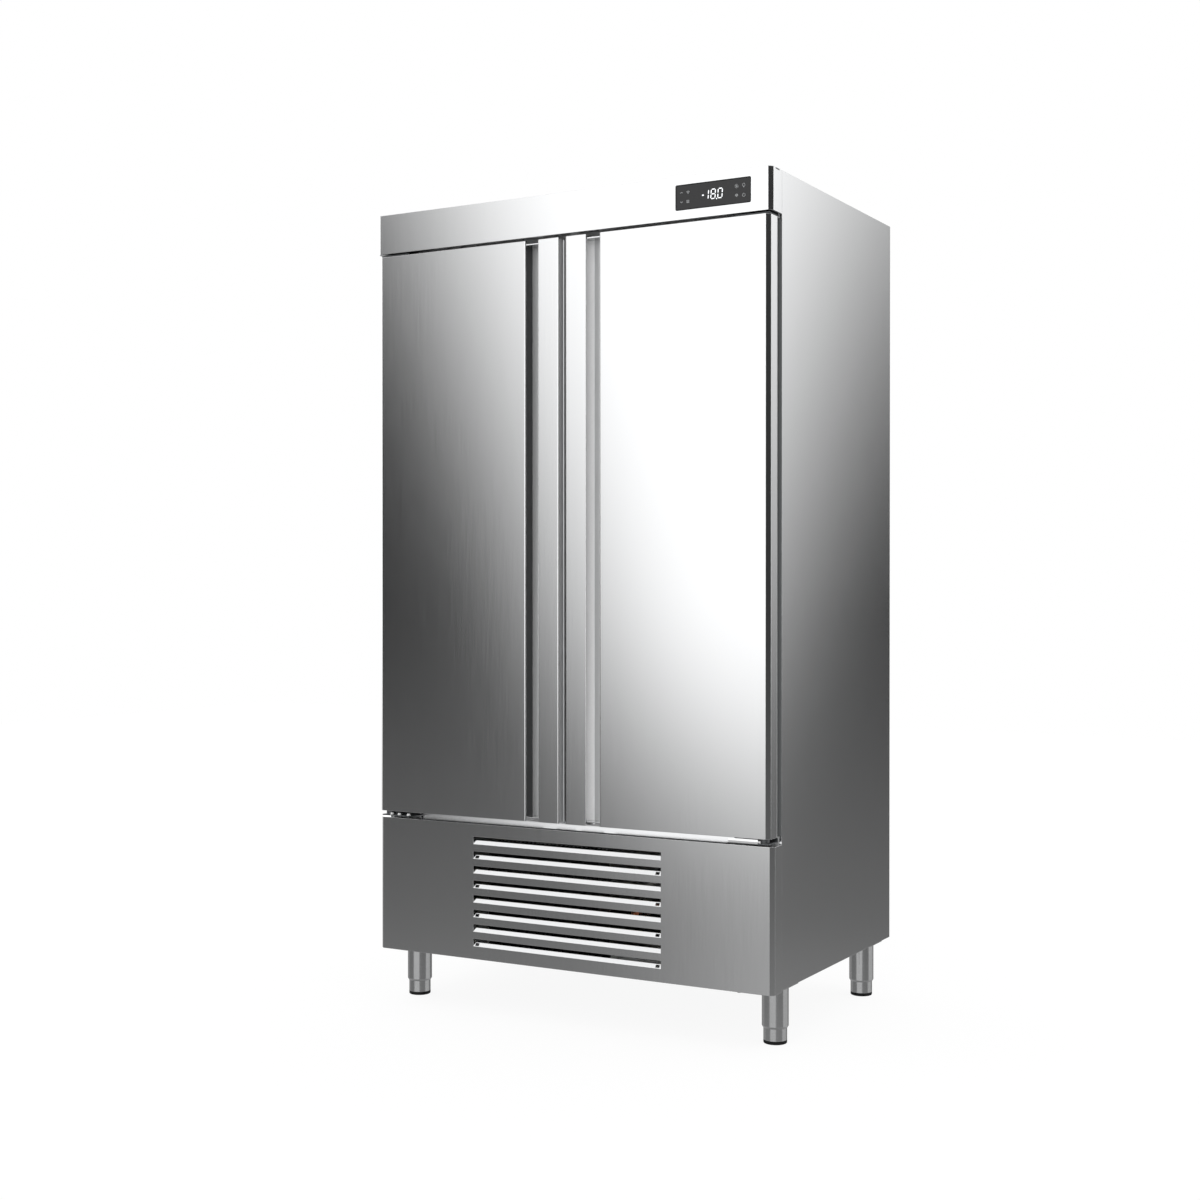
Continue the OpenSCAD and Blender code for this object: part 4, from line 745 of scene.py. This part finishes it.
def add_display():
    """Printed border, temperature figures and plain symbols on the control glass."""
    lo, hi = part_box("control_glass")
    sides = [MM_PER_M * v for v in (lo[0], lo[2], hi[0], hi[2])]
    outer = round_outline(*sides, BORDER_INSET, BORDER_OUTER_R)
    inner = round_outline(*sides, BORDER_W, BORDER_INNER_R)
    border = [[outer[i - 1], outer[i], inner[i], inner[i - 1]] for i in range(len(outer))]
    add_marks("display_border", border, "display_border")
    figures = [rectangle(*MINUS), rectangle(*POINT)]
    for digit, x in DIGITS:
        figures += segment_outlines(digit, x)
    add_marks("display_figures", figures, "display_light")
    symbols = []
    for centre, strokes, arcs in SYMBOLS.values():
        symbols += symbol_outlines(centre, strokes, arcs)
    add_marks("display_symbols", symbols, "display_print")


def channel_lines():
    """Plans of a channel's three linings: beside the main face, along the floor and round the hollow."""
    r = SCOOP_R - LINING_T
    floor = CHANNEL_D - LINING_T
    wall_x = MAIN_X - LINING_T
    start = math.acos((floor - SCOOP_D) / r)
    span = math.radians(SCOOP_END) - start
    turns = [start + span * i / SCOOP_STEPS for i in range(SCOOP_STEPS + 1)]
    hollow = [(SCOOP_X - r * math.sin(t), SCOOP_D + r * math.cos(t)) for t in turns]
    return [(wall_x, FACE_D), (wall_x, floor)], [(wall_x, floor), hollow[0]], hollow


def add_lining(name, plan, z0, z1, side, material, slot):
    """Thin folded sheet along an open plan, upright on a door; side is -1 for the left door."""
    bm = bmesh.new()
    rings = []
    for i, (x, d) in enumerate(plan):
        ahead = plan[min(i + 1, len(plan) - 1)]
        behind = plan[max(i - 1, 0)]
        run = Vector((ahead[0] - behind[0], ahead[1] - behind[1])).normalized()
        points = [(x, d), (x + run.y * LINING_T / 2, d - run.x * LINING_T / 2)]
        rings.append([bm.verts.new((side * px, FRONT_Y + pd, z)) for px, pd in points for z in (z0, z1)])
    for a, b in zip(rings, rings[1:]):
        bm.faces.new((a[0], b[0], b[1], a[1]))
        bm.faces.new((a[2], a[3], b[3], b[2]))
        bm.faces.new((a[0], a[2], b[2], b[0]))
        bm.faces.new((a[1], b[1], b[3], a[3]))
    for end in (rings[0], rings[-1]):
        bm.faces.new((end[0], end[1], end[3], end[2]))
    body = "door_left" if side < 0 else "door_right"
    add_piece(name, bm, material, body)


def add_door_linings():
    """Linings of the grip channels and of the doors' meeting edges. The channel wall and the deep band of
    the meeting edge are near-black as painted shade, the channel floor is a darker satin copy of the steel
    as painted shade, and the hollow is white as a painted highlight.
    """
    wall, floor, hollow = channel_lines()
    for side, word in ((-1, "left"), (1, "right")):
        # Wall and meeting-edge band: painted shade; floor: darker steel copy as painted shade; hollow:
        # painted highlight
        add_lining("channel_wall_" + word, wall, *LINING_Z, side, "channel_dark", "tray_plastic")
        add_lining("channel_floor_" + word, floor, *LINING_Z, side, "channel_satin", "stainless_brushed")
        add_lining("channel_hollow_" + word, hollow, *LINING_Z, side, "channel_pale", "satin_steel")
        add_lining("edge_lining_" + word, MEETING_EDGE, *EDGE_Z, side, "satin_steel", "satin_steel")
        add_lining("edge_lip_" + word, MEETING_LIP, *EDGE_Z, side, "liner_steel", "stainless_brushed")
        add_lining("edge_band_" + word, MEETING_BAND, *EDGE_Z, side, "channel_dark", "tray_plastic")


def add_frame_gap_shade():
    """Dark strips down both sides of the frame, in the gaps, and dark plates in the header's notches: all
    painted shade.
    """
    bm = bmesh.new()
    for side in (-1, 1):
        cut_plate(bm, sorted(side * x for x in STRIP_X), STRIP_Y, STRIP_Z, PLATE_CUT)
        cut_plate(bm, sorted(side * x for x in NOTCH_SHADE_X), NOTCH_SHADE_Y, NOTCH_SHADE_Z, NOTCH_SHADE_CUT)
    add_piece("frame_gap_shade", bm, "gap_painted_shade", "cabinet")


def add_profile_bar(name, x_ends, profile):
    """Straight polished bar along X with the same outline in Y and Z at both ends."""
    bm = bmesh.new()
    ends = [[bm.verts.new((x, y, z)) for y, z in profile] for x in x_ends]
    count = len(profile)
    for i in range(count):
        j = (i + 1) % count
        bm.faces.new((ends[0][i], ends[0][j], ends[1][j], ends[1][i]))
    bm.faces.new(ends[0])
    bm.faces.new(ends[1])
    add_piece(name, bm, "polished", "cabinet")


def add_sill_trims():
    """Polished angle strip along the ledge below the doors, and the cover of the right lower hinge."""
    add_profile_bar("sill_strip", SILL_X, SILL_PROFILE)
    add_profile_bar("hinge_cover", COVER_X, COVER_PROFILE)


def prism(bm, x, y, radius, z0, z1, sides):
    """Upright prism over a regular outline."""
    turns = [2 * math.pi * k / sides for k in range(sides)]
    low = [bm.verts.new((x + radius * math.cos(t), y + radius * math.sin(t), z0)) for t in turns]
    high = [bm.verts.new((v.co.x, v.co.y, z1)) for v in low]
    for k in range(sides):
        bm.faces.new((low[k], low[(k + 1) % sides], high[(k + 1) % sides], high[k]))
    bm.faces.new(high)
    bm.faces.new(list(reversed(low)))


def add_bracket_bolts():
    """Hexagon bolts with washers on the tongues of the lower hinge brackets, near-white as a painted
    highlight in the shaded gap.
    """
    lo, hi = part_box("hinge_brackets")
    y = lo[1] + BOLT_BACK
    z = lo[2] + TONGUE_T
    washer_top = z + BOLT_H * WASHER_H_SHARE
    bm = bmesh.new()
    for side in (-1, 1):
        for inset in BOLT_INSETS:
            x = side * (hi[0] - inset)
            prism(bm, x, y, BOLT_ACROSS * WASHER_R_SHARE, z, washer_top, WASHER_SIDES)
            prism(bm, x, y, BOLT_ACROSS * HEAD_R_SHARE, washer_top, z + BOLT_H, HEAD_SIDES)
    add_piece("bracket_bolts", bm, "bolt_painted_highlight", "cabinet")


def ring_wire(bm, centre, radius):
    """Round wire ring that faces the front."""
    loops = []
    for i in range(WIRE_STEPS):
        a = 2 * math.pi * i / WIRE_STEPS
        loop = []
        for k in range(WIRE_SIDES):
            b = 2 * math.pi * k / WIRE_SIDES
            r = radius + WIRE_R * math.cos(b)
            loop.append(bm.verts.new((centre[0] + r * math.cos(a), centre[1] + WIRE_R * math.sin(b),
                                      centre[2] + r * math.sin(a))))
        loops.append(loop)
    for here, there in zip(loops, loops[1:] + loops[:1]):
        for k in range(WIRE_SIDES):
            j = (k + 1) % WIRE_SIDES
            bm.faces.new((here[k], here[j], there[j], there[k]))


def spoke_wire(bm, start, end):
    """Straight round wire between two points, which lies across the front."""
    start = Vector(start)
    end = Vector(end)
    run = (end - start).normalized()
    side = run.cross(Vector((0, 1, 0))).normalized()
    up = run.cross(side)
    turns = [2 * math.pi * k / WIRE_SIDES for k in range(WIRE_SIDES)]
    offsets = [WIRE_R * (math.cos(t) * side + math.sin(t) * up) for t in turns]
    near = [bm.verts.new(start + offset) for offset in offsets]
    far = [bm.verts.new(end + offset) for offset in offsets]
    for k in range(WIRE_SIDES):
        j = (k + 1) % WIRE_SIDES
        bm.faces.new((near[k], near[j], far[j], far[k]))
    bm.faces.new(near)
    bm.faces.new(list(reversed(far)))


def add_fan_guards():
    """Wire guards in front of the two evaporator fans."""
    lo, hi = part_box("evaporator_cover")
    y = lo[1] - WIRE_R - WIRE_GAP
    z = (lo[2] + hi[2]) / 2
    spoke_y = y - SPOKE_STEP * WIRE_R
    bm = bmesh.new()
    for x in GUARD_X:
        for radius in GUARD_RADII:
            ring_wire(bm, (x, y, z), radius)
        for k in range(GUARD_SPOKES):
            a = math.radians(SPOKE_TURN + 360 / GUARD_SPOKES * k)
            ends = [(x + r * math.cos(a), spoke_y, z + r * math.sin(a)) for r in (SPOKE_FROM_R, SPOKE_TO_R)]
            spoke_wire(bm, *ends)
    for face in bm.faces:
        face.smooth = True
    add_piece("fan_guards", bm, "zinc", "cabinet")


def add_inlet_pins():
    """Three flat contacts in the power inlet."""
    lo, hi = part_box("power_inlet")
    middle_x = (lo[0] + hi[0]) / 2
    middle_z = (lo[2] + hi[2]) / 2
    bm = bmesh.new()
    for dx, dz in PIN_PLACES:
        x = middle_x + dx
        z = middle_z + dz
        cut_plate(bm, (x - PIN_HALF_X, x + PIN_HALF_X), (hi[1] - PIN_DEEP, hi[1] - PIN_SHALLOW),
                  (z - PIN_HALF_Z, z + PIN_HALF_Z), PLATE_CUT)
    add_piece("inlet_pins", bm, "zinc", "cabinet")


def add_seal_lines():
    """Two fine ridges along each door seal, lighter than the rubber as a painted highlight."""
    for word in ("left", "right"):
        lo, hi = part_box("door_seal_" + word)
        bm = bmesh.new()
        for inset in RIDGE_INSETS:
            depths = (inset, inset + RIDGE_W)
            outer, inner = (rectangle(lo[0] + d, lo[2] + d, hi[0] - d, hi[2] - d) for d in depths)
            for i in range(4):
                strip = [outer[i - 1], outer[i], inner[i], inner[i - 1]]
                plate(bm, strip, hi[1] - RIDGE_SUNK, hi[1] + RIDGE_PROUD)
        add_piece("seal_ridges_" + word, bm, "seal_ridge_painted_highlight", "door_" + word)


bpy.context.scene.view_settings.view_transform = "Standard"
clear_lights_and_cameras()
add_camera()
build_world()
build_floor()
dress_nodes()
add_display()
add_door_linings()
add_frame_gap_shade()
add_sill_trims()
add_bracket_bolts()
add_fan_guards()
add_inlet_pins()
add_seal_lines()
